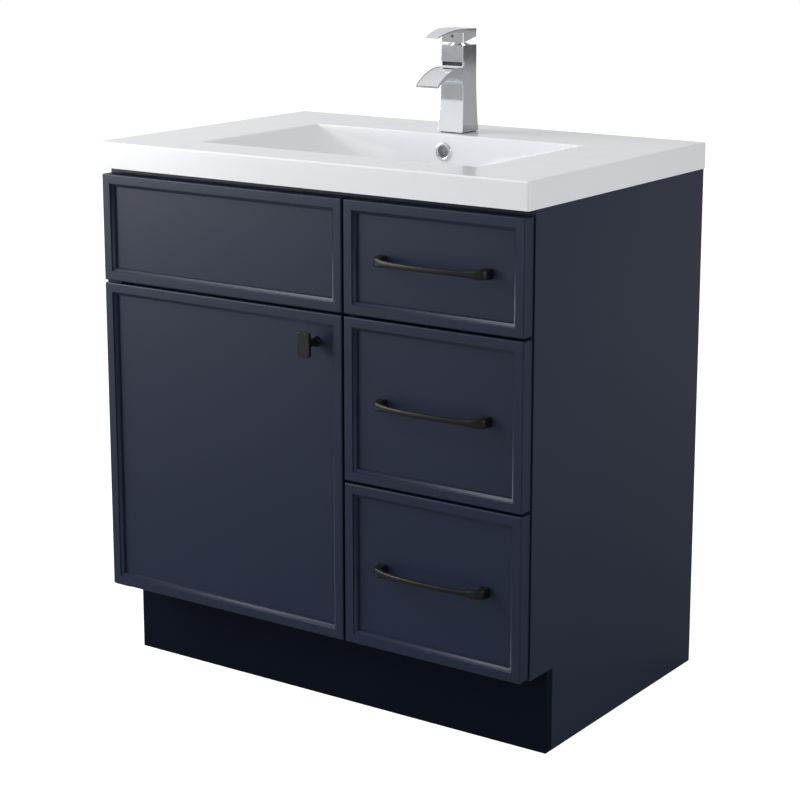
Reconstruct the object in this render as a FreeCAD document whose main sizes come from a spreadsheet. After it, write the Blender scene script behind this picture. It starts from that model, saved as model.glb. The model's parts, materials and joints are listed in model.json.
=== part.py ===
import FreeCAD, Part
import Sketcher
import os
import re
from FreeCAD import Rotation, Vector

# Bathroom vanity cabinet with a one-piece basin top, a single-lever faucet, one door and three drawers.
# Frame: +X to the right, +Y to the wall, +Z up. The origin is on the floor, under the middle of the
# object's box. Sizes are in millimetres and live in the spreadsheet "Sizes".

doc = FreeCAD.newDocument("Vanity")
sheet = doc.addObject("Spreadsheet::Sheet", "Sizes")

driving_sizes = {
    # carcass
    "carcass_width": 762.0,
    "carcass_depth": 493.0,
    "carcass_height": 794.0,
    "standard_height": 794.0,
    "board": 18.0,
    "back_sheet": 6.0,
    "left_bay": 457.2,
    "toe_height": 125.0,
    "toe_setback": 46.0,
    "toe_board": 16.0,
    "rail_height": 50.0,
    "door_rail_height": 40.0,
    "wall_rail_height": 100.0,
    "lower_rail_height": 70.0,
    "wall_hole_spacing": 406.4,
    "wall_hole_radius": 3.5,
    "wall_hole_drop": 40.0,
    "pipe_window_width": 280.0,
    "pipe_window_height": 220.0,
    "pipe_window_bottom": 400.0,
    "pipe_window_margin": 8.0,
    "basin_clearance": 5.0,
    "fit_gap": 0.3,
    # adjustable shelf
    "shelf_thickness": 16.0,
    "shelf_depth": 300.0,
    "shelf_height": 330.0,
    "shelf_back_gap": 20.0,
    "shelf_side_gap": 1.0,
    "pin_radius": 2.5,
    "pin_length": 16.0,
    "pin_in_board": 8.0,
    "pin_fit": 0.1,
    "pin_end_distance": 40.0,
    "corner_block": 40.0,
    # fronts
    "front_gap": 2.0,
    "front_thickness": 22.0,
    "front_inset": 2.2,
    "front_spacing": 3.5,
    "front_bottom": 127.5,
    "front_top_gap": 9.5,
    "top_front_height": 165.0,
    "deep_front_height": 242.5,
    "frame_border": 15.0,
    "step_depth": 3.5,
    "step_width": 3.0,
    "panel_recess": 8.0,
    "front_rounding": 2.0,
    "clip_radius": 8.0,
    "clip_side_distance": 80.0,
    # door hinges
    "hinge_edge_distance": 5.0,
    "hinge_from_back": 9.5,
    "hinge_leaf_thickness": 1.8,
    "hinge_leaf_length": 28.0,
    "hinge_leaf_width": 14.0,
    "hinge_leaf_gap": 0.6,
    "leaf_edge_gap": 1.2,
    "hinge_tongue": 14.0,
    "hinge_pin_radius": 2.0,
    "hinge_pin_length": 14.0,
    "hinge_running_fit": 0.08,
    "bumper_radius": 5.0,
    "bumper_gap": 0.4,
    "bumper_end_distance": 40.0,
    "hinge_bore_gap": 0.5,
    # knob
    "knob_side_distance": 51.5,
    "knob_top_distance": 45.0,
    "knob_projection": 24.0,
    "knob_width": 22.5,
    "knob_height": 36.5,
    "knob_thickness": 8.0,
    "knob_stem_radius": 6.0,
    "knob_foot_radius": 8.0,
    "knob_foot_thickness": 3.0,
    # pulls
    "pull_centres": 176.0,
    "pull_foot": 15.0,
    "pull_foot_length": 16.0,
    "pull_projection": 22.0,
    "pull_bow": 3.0,
    "pull_bar_height": 8.0,
    "pull_bar_thickness": 7.0,
    # drawers
    "drawer_wall": 12.0,
    "drawer_depth": 400.0,
    "drawer_bottom_sheet": 6.0,
    "drawer_groove": 5.0,
    "drawer_groove_lift": 10.0,
    "groove_fit": 0.2,
    "top_box_height": 90.0,
    "deep_box_height": 150.0,
    "box_lift": 20.0,
    "slide_gap": 12.7,
    "slide_member": 4.0,
    "slide_web": 1.5,
    "slide_lip": 4.5,
    "slide_height": 44.0,
    "slide_step": 4.5,
    "slide_length": 400.0,
    "slide_setback": 3.0,
    "slide_lift": 45.0,
    # basin top
    "top_thickness": 40.0,
    "top_side_overhang": 3.0,
    "top_front_overhang": 24.0,
    "top_rounding": 3.0,
    "basin_length": 500.0,
    "basin_to_partition": 76.2,
    "basin_width": 290.0,
    "basin_ledge": 83.5,
    "basin_depth": 96.0,
    "basin_floor_half": 34.0,
    "basin_wall": 12.0,
    "basin_back_wall": 22.0,
    "drain_hole_radius": 22.5,
    "overflow_radius": 11.0,
    "overflow_drop": 28.0,
    "overflow_bore_depth": 12.0,
    "overflow_duct_radius": 6.0,
    "duct_block_width": 28.0,
    "duct_block_height": 22.0,
    # overflow ring and drain
    "ring_flange_radius": 15.0,
    "ring_flange_thickness": 2.0,
    "ring_sleeve_wall": 1.5,
    "ring_sleeve_length": 8.0,
    "sleeve_fit": 0.3,
    "drain_flange_radius": 31.0,
    "drain_flange_thickness": 2.5,
    "drain_throat_radius": 19.0,
    "drain_body_wall": 2.5,
    "drain_body_length": 62.0,
    "drain_port_radius": 5.0,
    "gasket_radius": 30.0,
    "gasket_thickness": 4.0,
    "drain_nut_radius": 30.0,
    "drain_nut_thickness": 10.0,
    "tailpiece_radius": 15.875,
    "tailpiece_wall": 1.5,
    "tailpiece_length": 150.0,
    "tail_collar_height": 3.0,
    "stopper_radius": 18.0,
    "stopper_thickness": 5.0,
    "stopper_proud": 2.0,
    "stopper_stem_radius": 4.0,
    "stopper_stem_length": 40.0,
    "spider_radius": 7.5,
    "spider_bar_width": 5.0,
    "spider_thickness": 5.0,
    "spider_drop": 30.0,
    "stem_fit": 0.08,
    # faucet
    "faucet_front_setback": 23.0,
    "faucet_width": 41.0,
    "faucet_depth": 39.0,
    "faucet_flare": 2.5,
    "faucet_flare_height": 30.0,
    "faucet_body_height": 137.0,
    "faucet_rounding": 2.0,
    "head_height": 26.0,
    "slot_height": 6.0,
    "slot_depth": 20.0,
    "spout_reach": 70.0,
    "spout_bite": 4.0,
    "spout_tip_height": 80.0,
    "spout_tip_thickness": 4.5,
    "spout_root_height": 103.0,
    "spout_root_thickness": 22.0,
    "spout_crown": 6.0,
    "channel_width": 33.0,
    "channel_depth": 3.0,
    "faucet_gasket_thickness": 1.5,
    "cartridge_hole_radius": 15.0,
    "cartridge_hole_depth": 30.0,
    "cartridge_radius": 14.7,
    "cartridge_rise": 1.0,
    "collar_radius": 13.5,
    "collar_rise": 3.0,
    "stem_side": 8.0,
    "handle_gap": 4.0,
    "handle_height": 22.0,
    "handle_wall": 3.0,
    "handle_pivot_rise": 8.0,
    "handle_pin_radius": 2.0,
    "handle_running_fit": 0.06,
    "lever_reach": 57.0,
    "lever_tip_width": 23.5,
    "lever_tip_drop": 10.0,
    "lever_thickness": 5.0,
    "handle_rear_rise": 8.0,
    "handle_pin_bite": 2.0,
    "collar_gap": 0.3,
    "cap_radius": 2.2,
    "cap_thickness": 0.6,
    "cap_drop": 12.0,
    "shank_radius": 12.0,
    "shank_hole_fit": 1.0,
    "shank_length": 70.0,
    "mount_nut_radius": 18.0,
    "mount_nut_thickness": 8.0,
}

for row, (size_name, size_value) in enumerate(driving_sizes.items(), start=1):
    sheet.set(f"A{row}", size_name)
    sheet.set(f"B{row}", str(size_value))
    sheet.setAlias(f"B{row}", size_name)
doc.recompute()

# Places that several pieces share, worked out from the driving sizes. Before the shift to the final
# frame, x = 0 is the middle, y = 0 the carcass's front edges and z = 0 the floor.
places = {
    "half_width": "carcass_width / 2",
    "inner_half": "half_width - board",
    "front_reach": "front_gap + front_thickness + max(pull_projection, knob_projection)",
    "frame_shift": "(carcass_depth - front_reach) / 2",
    "front_face": "-(front_gap + front_thickness)",
    "partition_x": "left_bay - half_width",
    "partition_left": "partition_x - board / 2",
    "partition_right": "partition_x + board / 2",
    "floor_top": "toe_height + board",
    "inside_depth": "carcass_depth - back_sheet",
    "rail_front": "inside_depth - board",
    # rows of fronts: the two deep rows share what a carcass has over the standard height, and the bottom
    # row fills what the others leave
    "row_growth": "(carcass_height - standard_height) / 2",
    "middle_front_height": "deep_front_height + row_growth",
    "fronts_height": "carcass_height - front_top_gap - front_bottom",
    "upper_fronts_height": "top_front_height + middle_front_height + 2 * front_spacing",
    "bottom_front_height": "fronts_height - upper_fronts_height",
    "middle_box_height": "deep_box_height + row_growth",
    "bottom_box_height": "deep_box_height + bottom_front_height - deep_front_height",
    "bottom_row": "front_bottom",
    "middle_row": "front_bottom + bottom_front_height + front_spacing",
    "top_row": "middle_row + middle_front_height + front_spacing",
    "left_front_width": "left_bay - front_inset - front_spacing / 2",
    "right_front_width": "carcass_width - left_bay - front_inset - front_spacing / 2",
    "left_front_x": "-half_width + front_inset",
    "right_front_x": "partition_x + front_spacing / 2",
    "door_height": "middle_front_height + bottom_front_height + front_spacing",
    "door_top": "bottom_row + door_height",
    "door_rail_bottom": "top_row - front_spacing / 2 - door_rail_height / 2",
    # basin: it is in the middle, or further left where the partition would meet its drain
    "basin_x": "min(0; partition_x - basin_to_partition)",
    "deck": "carcass_height + top_thickness",
    "top_front": "-top_front_overhang",
    "basin_front": "top_front + basin_ledge",
    "basin_back": "basin_front + basin_width",
    "basin_middle": "(basin_front + basin_back) / 2",
    "basin_slope": "basin_depth / (basin_length / 2 - basin_floor_half)",
    "basin_floor": "deck - basin_depth",
    "basin_under": "basin_floor - basin_wall",
    "ramp_wall": "basin_wall * sqrt(1 + basin_slope ^ 2)",
    "tub_top_half": "basin_length / 2 - (top_thickness - ramp_wall) / basin_slope",
    "tub_bottom_half": "basin_length / 2 - (basin_depth + basin_wall - ramp_wall) / basin_slope",
    "tub_back": "basin_back + basin_back_wall",
    "overflow_z": "deck - overflow_drop",
    "duct_y": "basin_back + overflow_bore_depth",
    "duct_bottom": "basin_under - duct_block_height",
    "duct_z": "duct_bottom + duct_block_height / 2",
    # drain stack
    "throat_outer": "drain_throat_radius + drain_body_wall",
    "drain_top": "basin_floor + drain_flange_thickness",
    "drain_bottom": "drain_top - drain_body_length",
    "nut_top": "duct_bottom - gasket_thickness",
    "tail_bottom": "drain_bottom - tailpiece_length",
    # faucet
    "faucet_front": "basin_back + faucet_front_setback",
    "faucet_y": "faucet_front + faucet_depth / 2",
    "faucet_foot": "deck + faucet_gasket_thickness",
    "faucet_top": "deck + faucet_body_height",
    "head_bottom": "faucet_top - head_height",
    "handle_bottom": "faucet_top + handle_gap",
    "pivot_z": "handle_bottom + handle_pivot_rise",
    # door hinge axis
    "hinge_x": "left_front_x + hinge_edge_distance",
    "hinge_y": "-front_gap - hinge_from_back",
    # drawers
    "box_left": "partition_right + slide_gap",
    "box_right": "inner_half - slide_gap",
    "pull_x": "right_front_x + right_front_width / 2",
    # more shared places
    "notch_depth": "toe_setback + toe_board",
    "ramp_run": "basin_length / 2 + basin_x - partition_left",
    "partition_top": "deck - basin_slope * ramp_run - ramp_wall - basin_clearance",
    "shelf_back": "inside_depth - shelf_back_gap",
    "shelf_front": "shelf_back - shelf_depth",
    "pin_front_y": "shelf_front + pin_end_distance",
    "pin_back_y": "shelf_back - pin_end_distance",
    "pin_z": "shelf_height - pin_radius",
    "window_x": "partition_left - pipe_window_margin - pipe_window_width",
    "wall_hole_z": "carcass_height - wall_hole_drop",
    "leaf_left": "left_front_x + leaf_edge_gap",
    "leaf_right": "leaf_left + hinge_leaf_length",
    "leaf_front": "hinge_y - hinge_leaf_width / 2",
    "tongue_left": "-inner_half + fit_gap",
    "upper_leaf_z": "door_top + hinge_leaf_gap",
    "lower_leaf_z": "front_bottom - hinge_leaf_gap - hinge_leaf_thickness",
}


def formula(text):
    """Turn size and place names into spreadsheet references."""
    def swap(match):
        word = match.group(0)
        if word in places:
            return "(" + formula(places[word]) + ")"
        if word in driving_sizes:
            return "Sizes." + word
        return word
    return re.sub(r"[a-z][a-z_]*[a-z]", swap, text)


def number(text):
    """Work a formula out now, for a sketch's starting shape."""
    return float(sheet.evalExpression(formula(text)))


def bind(item, prop, text):
    item.setExpression(prop, formula(text))


def place(item, x, y, z):
    """Put an object at a point given before the shift to the final frame."""
    bind(item, "Placement.Base.x", x)
    bind(item, "Placement.Base.y", f"({y}) - frame_shift")
    bind(item, "Placement.Base.z", z)


# Primitives and booleans
def box(name, low, high):
    """A box between two corners."""
    item = doc.addObject("Part::Box", name)
    for prop, start, end in zip(("Length", "Width", "Height"), low, high):
        bind(item, prop, f"({end}) - ({start})")
    place(item, *low)
    return item


quarter_turns = {
    "x": Rotation(Vector(0, 1, 0), 90),
    "y": Rotation(Vector(1, 0, 0), -90),
    "z": Rotation(),
}


def rod(name, start, radius, length, along="z"):
    """A cylinder that runs from a point along an axis."""
    item = doc.addObject("Part::Cylinder", name)
    bind(item, "Radius", radius)
    bind(item, "Height", length)
    item.Placement.Rotation = quarter_turns[along]
    place(item, *start)
    return item


def join(name, pieces):
    item = doc.addObject("Part::MultiFuse", name)
    item.Shapes = pieces
    return item


def cut(name, base, tools):
    """Take tools away from a base; the base keeps no other use."""
    item = doc.addObject("Part::Cut", name)
    item.Base = base
    item.Tool = tools[0] if len(tools) == 1 else join(name + "_tools", tools)
    return item


def group(name, pieces):
    """Separate solids that share one node, such as four pins."""
    item = doc.addObject("Part::Compound", name)
    item.Links = pieces
    return item


# Sketches and body features
def new_body(name, x, y, z):
    body = doc.addObject("PartDesign::Body", name)
    place(body, x, y, z)
    return body


def new_sketch(body, name, role, offset="0"):
    """A sketch on one of the body's own origin planes, moved along its normal."""
    plane = next(item for item in body.Origin.OriginFeatures if item.Role == role)
    item = body.newObject("Sketcher::SketchObject", name)
    item.AttachmentSupport = [(plane, "")]
    item.MapMode = "FlatFace"
    bind(item, "AttachmentOffset.Base.z", offset)
    return item


def pin_point(sketch, geometry, end, x, y):
    """Tie a sketch point to its two distances from the sketch's origin."""
    for kind, text in (("DistanceX", x), ("DistanceY", y)):
        index = sketch.addConstraint(Sketcher.Constraint(kind, -1, 1, geometry, end, number(text)))
        sketch.setExpression(f"Constraints[{index}]", formula(text))


def outline(sketch, points):
    """A closed outline. A point is (x, y); (x, y, mid_x, mid_y) starts an arc through the middle point."""
    count = len(points)
    first = sketch.GeometryCount
    spots = [Vector(number(point[0]), number(point[1]), 0) for point in points]
    for index, point in enumerate(points):
        start, end = spots[index], spots[(index + 1) % count]
        if len(point) == 4:
            middle = Vector(number(point[2]), number(point[3]), 0)
            sketch.addGeometry(Part.Arc(start, middle, end), False)
        else:
            sketch.addGeometry(Part.LineSegment(start, end), False)
    starts, ends = [], []
    for index, point in enumerate(points):
        forward = sketch.getPoint(first + index, 1).distanceToPoint(spots[index]) < 1e-6
        starts.append(1 if forward else 2)
        ends.append(2 if forward else 1)
    for index, point in enumerate(points):
        following = (index + 1) % count
        sketch.addConstraint(Sketcher.Constraint("Coincident", first + index, ends[index],
                                                 first + following, starts[following]))
    for index, point in enumerate(points):
        pin_point(sketch, first + index, starts[index], point[0], point[1])
        if len(point) == 4:
            middle = Vector(number(point[2]), number(point[3]), 0)
            dot = sketch.addGeometry(Part.Point(middle), True)
            pin_point(sketch, dot, 1, point[2], point[3])
            sketch.addConstraint(Sketcher.Constraint("PointOnObject", dot, 1, first + index))


def rectangle(sketch, low_x, low_y, high_x, high_y):
    outline(sketch, [(low_x, low_y), (high_x, low_y), (high_x, high_y), (low_x, high_y)])


def circle(sketch, x, y, radius):
    centre = Vector(number(x), number(y), 0)
    index = sketch.addGeometry(Part.Circle(centre, Vector(0, 0, 1), number(radius)), False)
    pin_point(sketch, index, 3, x, y)
    held = sketch.addConstraint(Sketcher.Constraint("Radius", index, number(radius)))
    sketch.setExpression(f"Constraints[{held}]", formula(radius))


def pad(body, sketch, length, backwards=False):
    """Grow a sketch along its normal, or against it."""
    item = body.newObject("PartDesign::Pad", sketch.Name + "_pad")
    item.Profile = sketch
    bind(item, "Length", length)
    item.Reversed = backwards
    sketch.Visibility = False
    return item


def pocket(body, sketch, depth, backwards=False):
    """Cut a sketch into the body against its normal, or along it, and see that it took something away."""
    doc.recompute()
    before = body.Tip.Shape.Volume
    item = body.newObject("PartDesign::Pocket", sketch.Name + "_pocket")
    item.Profile = sketch
    bind(item, "Length", depth)
    item.Reversed = backwards
    doc.recompute()
    if item.Shape.Volume > before - 0.1:
        raise RuntimeError(f"{item.Name} cuts nothing")
    return item


def round_edges(body, name, radius, wanted):
    """Fillet the edges of the body's tip that the test picks."""
    doc.recompute()
    base = body.Tip
    edges = [f"Edge{index}" for index, edge in enumerate(base.Shape.Edges, start=1) if wanted(edge)]
    item = body.newObject("PartDesign::Fillet", name)
    item.Base = (base, edges)
    bind(item, "Radius", radius)
    return item


def runs_along(edge, axis):
    """True for a straight edge along X, Y or Z."""
    box_of_edge = edge.BoundBox
    lengths = {"x": box_of_edge.XLength, "y": box_of_edge.YLength, "z": box_of_edge.ZLength}
    return lengths[axis] > 0.1 and sum(lengths.values()) - lengths[axis] < 1e-6


def at(value, target):
    return abs(value - target) < 1e-4


# Carcass
def side_panel(name, x, with_pin_holes):
    """An upright board with the toe notch at its lower front corner."""
    body = new_body(name, x, "0", "0")
    face = new_sketch(body, name + "_face", "YZ_Plane")
    outline(face, [("notch_depth", "0"), ("carcass_depth", "0"), ("carcass_depth", "carcass_height"),
                   ("0", "carcass_height"), ("0", "toe_height"), ("notch_depth", "toe_height")])
    pad(body, face, "board")
    if with_pin_holes:
        holes = new_sketch(body, name + "_pin_holes", "YZ_Plane", "board")
        circle(holes, "pin_front_y", "pin_z", "pin_radius + pin_fit")
        circle(holes, "pin_back_y", "pin_z", "pin_radius + pin_fit")
        pocket(body, holes, "pin_in_board + fit_gap")
    return body


def centre_partition():
    """The board between the door's bay and the drawers, cut down under the basin."""
    body = new_body("centre_partition", "partition_left", "0", "0")
    face = new_sketch(body, "partition_face", "YZ_Plane")
    rail_bottom = "carcass_height - rail_height"
    outline(face, [("0", "floor_top"), ("rail_front", "floor_top"), ("rail_front", "partition_top"),
                   ("board", "partition_top"), ("board", rail_bottom), ("0", rail_bottom)])
    pad(body, face, "board")
    holes = new_sketch(body, "partition_pin_holes", "YZ_Plane")
    circle(holes, "pin_front_y", "pin_z", "pin_radius + pin_fit")
    circle(holes, "pin_back_y", "pin_z", "pin_radius + pin_fit")
    pocket(body, holes, "pin_in_board + fit_gap", backwards=True)
    return body


def bottom_panel():
    board = box("bottom_panel_board", ("-inner_half", "0", "toe_height"),
                ("inner_half", "inside_depth", "floor_top"))
    slot = box("bottom_panel_hinge_slot", ("-inner_half - fit_gap", "-fit_gap", "toe_height - fit_gap"),
               ("leaf_right + fit_gap", "hinge_tongue + fit_gap", "front_bottom - hinge_leaf_gap + fit_gap"))
    return cut("bottom_panel", board, [slot])


def door_rail():
    """The rail behind the joint of the false front and the door; it holds the upper hinge leaf."""
    rail = box("door_rail_board", ("-inner_half", "0", "door_rail_bottom"),
               ("partition_left", "board", "door_rail_bottom + door_rail_height"))
    slot = box("door_rail_hinge_slot", ("-inner_half - fit_gap", "-fit_gap", "upper_leaf_z - fit_gap"),
               ("leaf_right + fit_gap", "hinge_tongue + fit_gap",
                "upper_leaf_z + hinge_leaf_thickness + fit_gap"))
    return cut("door_rail", rail, [slot])


def wall_holes(name, start_y, length):
    return [rod(f"{name}_wall_hole_{side}", (f"{sign} wall_hole_spacing / 2", start_y, "wall_hole_z"),
                "wall_hole_radius", length, "y")
            for side, sign in (("left", "-"), ("right", "+"))]


def back_panel():
    """A thin sheet between the sides, with a window for the pipes and the two wall-screw holes."""
    sheet_box = box("back_panel_sheet", ("-inner_half", "inside_depth", "toe_height"),
                    ("inner_half", "carcass_depth", "carcass_height"))
    window = box("back_panel_window", ("window_x", "inside_depth - fit_gap", "pipe_window_bottom"),
                 ("window_x + pipe_window_width", "carcass_depth + fit_gap",
                  "pipe_window_bottom + pipe_window_height"))
    holes = wall_holes("back_panel", "inside_depth - fit_gap", "back_sheet + 2 * fit_gap")
    return cut("back_panel", sheet_box, [window] + holes)


def wall_rail():
    rail = box("wall_rail_board", ("-inner_half", "rail_front", "carcass_height - wall_rail_height"),
               ("inner_half", "inside_depth", "carcass_height"))
    return cut("wall_rail", rail, wall_holes("wall_rail", "rail_front - fit_gap", "board + 2 * fit_gap"))


def corner_blocks():
    """Four three-cornered blocks that the basin top is fixed to."""
    corners = [("front_left", "-inner_half", "board", 0),
               ("front_right", "inner_half", "board", 90),
               ("back_right", "inner_half", "rail_front", 180),
               ("back_left", "-inner_half", "rail_front", 270)]
    blocks = []
    for name, x, y, turn in corners:
        block = doc.addObject("Part::Wedge", "corner_block_" + name)
        for prop in ("Xmin", "Ymin", "Zmin", "X2min", "Z2min", "X2max"):
            setattr(block, prop, 0)
        for prop in ("Xmax", "Ymax"):
            bind(block, prop, "corner_block")
        for prop in ("Zmax", "Z2max"):
            bind(block, prop, "board")
        block.Placement.Rotation = Rotation(Vector(0, 0, 1), turn)
        place(block, x, y, "carcass_height - board")
        blocks.append(block)
    return group("corner_blocks", blocks)


def shelf_pins():
    pins = []
    starts = {"left": "-inner_half - pin_in_board", "right": "partition_left - pin_length + pin_in_board"}
    for side, x in starts.items():
        for end, y in (("front", "pin_front_y"), ("back", "pin_back_y")):
            pins.append(rod(f"shelf_pin_{end}_{side}", (x, y, "pin_z"), "pin_radius", "pin_length", "x"))
    return group("shelf_pins", pins)


def carcass():
    return [
        side_panel("side_panel_left", "-half_width", True),
        side_panel("side_panel_right", "inner_half", False),
        bottom_panel(),
        centre_partition(),
        back_panel(),
        wall_rail(),
        box("lower_back_rail", ("-inner_half", "rail_front", "floor_top"),
            ("inner_half", "inside_depth", "floor_top + lower_rail_height")),
        box("top_front_rail", ("-inner_half", "0", "carcass_height - rail_height"),
            ("inner_half", "board", "carcass_height")),
        door_rail(),
        box("toe_kick_board", ("-half_width", "toe_setback", "0"),
            ("half_width", "notch_depth", "toe_height")),
        box("shelf", ("-inner_half + shelf_side_gap", "shelf_front", "shelf_height"),
            ("partition_left - shelf_side_gap", "shelf_back", "shelf_height + shelf_thickness")),
        shelf_pins(),
        corner_blocks(),
    ]


# Fronts, knob and pulls
def framed_front(name, x, z, width, height):
    """A slim raised frame round a flat panel that lies lower, with one step between them."""
    body = new_body(name, x, "front_face", z)
    face = new_sketch(body, name + "_face", "XZ_Plane")
    rectangle(face, "0", "0", width, height)
    pad(body, face, "front_thickness", backwards=True)
    for part, inset, depth in (("step", "frame_border", "step_depth"),
                               ("panel", "frame_border + step_width", "panel_recess")):
        hollow = new_sketch(body, f"{name}_{part}", "XZ_Plane")
        rectangle(hollow, inset, inset, f"{width} - ({inset})", f"{height} - ({inset})")
        pocket(body, hollow, depth)
    last_x, last_z = number(width), number(height)

    def on_front_rim(edge):
        middle = edge.CenterOfMass
        rim = at(middle.x, 0) or at(middle.x, last_x) or at(middle.z, 0) or at(middle.z, last_z)
        return rim and (at(middle.y, 0) or runs_along(edge, "y"))

    round_edges(body, name + "_rounding", "front_rounding", on_front_rim)
    return body


def false_front_clips():
    """Four round spacers between the false front and its two rails."""
    clips = []
    upper = "(carcass_height - rail_height + top_row + top_front_height) / 2"
    lower = "(top_row + door_rail_bottom + door_rail_height) / 2"
    for side, x in (("left", "left_front_x + clip_side_distance"),
                    ("right", "left_front_x + left_front_width - clip_side_distance")):
        for end, z in (("upper", upper), ("lower", lower)):
            clips.append(rod(f"clip_{end}_{side}", (x, "-front_gap", z), "clip_radius", "front_gap", "y"))
    return group("false_front_clips", clips)


def door_panel():
    """The door's front, with mortises for its hinge leaves and bores for the pins."""
    body = framed_front("door_panel", "left_front_x", "bottom_row", "left_front_width", "door_height")
    left, right = "leaf_left - left_front_x", "leaf_right - left_front_x"
    front, back = "leaf_front - front_face", "leaf_front + hinge_leaf_width - front_face"
    pin_x, pin_y = "hinge_edge_distance", "hinge_y - front_face"
    for end, level, backwards in (("upper", "door_height", False), ("lower", "0", True)):
        mortise = new_sketch(body, f"door_mortise_{end}", "XY_Plane", level)
        rectangle(mortise, left, front, right, back)
        pocket(body, mortise, "hinge_leaf_thickness", backwards)
        bore = new_sketch(body, f"door_bore_{end}", "XY_Plane", level)
        circle(bore, pin_x, pin_y, "hinge_pin_radius + hinge_bore_gap")
        pocket(body, bore, "hinge_pin_length + hinge_bore_gap", backwards)
    return body


def cabinet_leaf(name, level, pin_level, pin_backwards):
    """A hinge leaf on the carcass: a tongue in the board and a pin that the door turns on."""
    body = new_body(name, "0", "0", level)
    plate = new_sketch(body, name + "_plate", "XY_Plane")
    outline(plate, [("leaf_left", "leaf_front"), ("leaf_right", "leaf_front"), ("leaf_right", "hinge_tongue"),
                    ("tongue_left", "hinge_tongue"), ("tongue_left", "-fit_gap"), ("leaf_left", "-fit_gap")])
    pad(body, plate, "hinge_leaf_thickness")
    pin = new_sketch(body, name + "_pin", "XY_Plane", pin_level)
    circle(pin, "hinge_x", "hinge_y", "hinge_pin_radius")
    pad(body, pin, "hinge_pin_length", pin_backwards)
    return body


def hinge_leaves_on_carcass():
    return group("hinge_leaves_carcass", [
        cabinet_leaf("hinge_leaf_upper", "upper_leaf_z", "0", True),
        cabinet_leaf("hinge_leaf_lower", "lower_leaf_z", "hinge_leaf_thickness", False)])


def hinge_leaves_on_door():
    leaves = []
    for end, z in (("upper", "door_top - hinge_leaf_thickness"), ("lower", "bottom_row")):
        plate = box(f"door_leaf_plate_{end}", ("leaf_left", "leaf_front", z),
                    ("leaf_right", "leaf_front + hinge_leaf_width", f"{z} + hinge_leaf_thickness"))
        bore = rod(f"door_leaf_bore_{end}", ("hinge_x", "hinge_y", f"{z} - fit_gap"),
                   "hinge_pin_radius + hinge_running_fit", "hinge_leaf_thickness + 2 * fit_gap")
        leaves.append(cut(f"door_leaf_{end}", plate, [bore]))
    return group("hinge_leaves_door", leaves)


def door_bumpers():
    x = "left_front_x + left_front_width - bumper_radius - fit_gap"
    bumpers = [rod(f"bumper_{end}", (x, "-front_gap", z), "bumper_radius", "front_gap - bumper_gap", "y")
               for end, z in (("upper", "door_top - bumper_end_distance"),
                              ("lower", "bottom_row + bumper_end_distance"))]
    return group("door_bumpers", bumpers)


def door_knob():
    """A rectangular head on a round stem."""
    body = new_body("door_knob", "left_front_x + left_front_width - knob_side_distance",
                    "front_face + panel_recess", "door_top - knob_top_distance")
    foot = new_sketch(body, "knob_foot", "XZ_Plane")
    circle(foot, "0", "0", "knob_foot_radius")
    pad(body, foot, "knob_foot_thickness")
    stem = new_sketch(body, "knob_stem", "XZ_Plane")
    circle(stem, "0", "0", "knob_stem_radius")
    pad(body, stem, "knob_projection + panel_recess - knob_thickness / 2")
    head = new_sketch(body, "knob_head", "XZ_Plane", "knob_projection + panel_recess - knob_thickness")
    rectangle(head, "-knob_width / 2", "-knob_height / 2", "knob_width / 2", "knob_height / 2")
    pad(body, head, "knob_thickness")
    return body


def drawer_pull(name, z):
    """Two square feet and a bar that bows outwards between them."""
    body = new_body(name, "pull_x", "front_face + panel_recess", z)
    feet = new_sketch(body, name + "_feet", "XZ_Plane")
    for sign in ("-", "+"):
        centre = f"{sign} pull_centres / 2"
        rectangle(feet, f"{centre} - pull_foot / 2", "-pull_foot / 2",
                  f"{centre} + pull_foot / 2", "pull_foot / 2")
    bar = new_sketch(body, name + "_bar", "XY_Plane", "-pull_bar_height / 2")
    reach = "(pull_centres + pull_foot) / 2"
    front = "-(pull_projection + panel_recess)"
    rear = f"{front} + pull_bar_thickness"
    outline(bar, [(f"-{reach}", f"{front} + pull_bow", "0", front), (reach, f"{front} + pull_bow"),
                  (reach, f"{rear} + pull_bow", "0", rear), (f"-{reach}", f"{rear} + pull_bow")])
    pad(body, bar, "pull_bar_height")
    pad(body, feet, "pull_foot_length + panel_recess")
    return body


# Drawers
def slide_member(name, row, side, inset, height, web_outside):
    """One channel of a telescopic slide: a web with a thicker lip along its top and bottom."""
    sign = "+" if side == "left" else "-"
    wall = "partition_right" if side == "left" else "inner_half"
    near = f"{wall} {sign} ({inset})"
    far = f"{wall} {sign} ({inset} + slide_member)"
    if web_outside:
        hollow_near = f"{wall} {sign} ({inset} + slide_web)"
        hollow_far = f"{wall} {sign} ({inset} + slide_member + fit_gap)"
    else:
        hollow_near = f"{wall} {sign} ({inset} - fit_gap)"
        hollow_far = f"{wall} {sign} ({inset} + slide_member - slide_web)"
    low_x, high_x = (near, far) if side == "left" else (far, near)
    low_cut, high_cut = (hollow_near, hollow_far) if side == "left" else (hollow_far, hollow_near)
    middle = f"{row} + box_lift + slide_lift"
    low_z, high_z = f"{middle} - ({height}) / 2", f"{middle} + ({height}) / 2"
    bar = box(f"{name}_{side}_bar", (low_x, "slide_setback", low_z),
              (high_x, "slide_setback + slide_length", high_z))
    hollow = box(f"{name}_{side}_hollow", (low_cut, "slide_setback - fit_gap", f"{low_z} + slide_lip"),
                 (high_cut, "slide_setback + slide_length + fit_gap", f"{high_z} - slide_lip"))
    return cut(f"{name}_{side}", bar, [hollow])


def slide_pair(name, row, inset, height, web_outside):
    return group(name, [slide_member(name, row, side, inset, height, web_outside)
                        for side in ("left", "right")])


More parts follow.
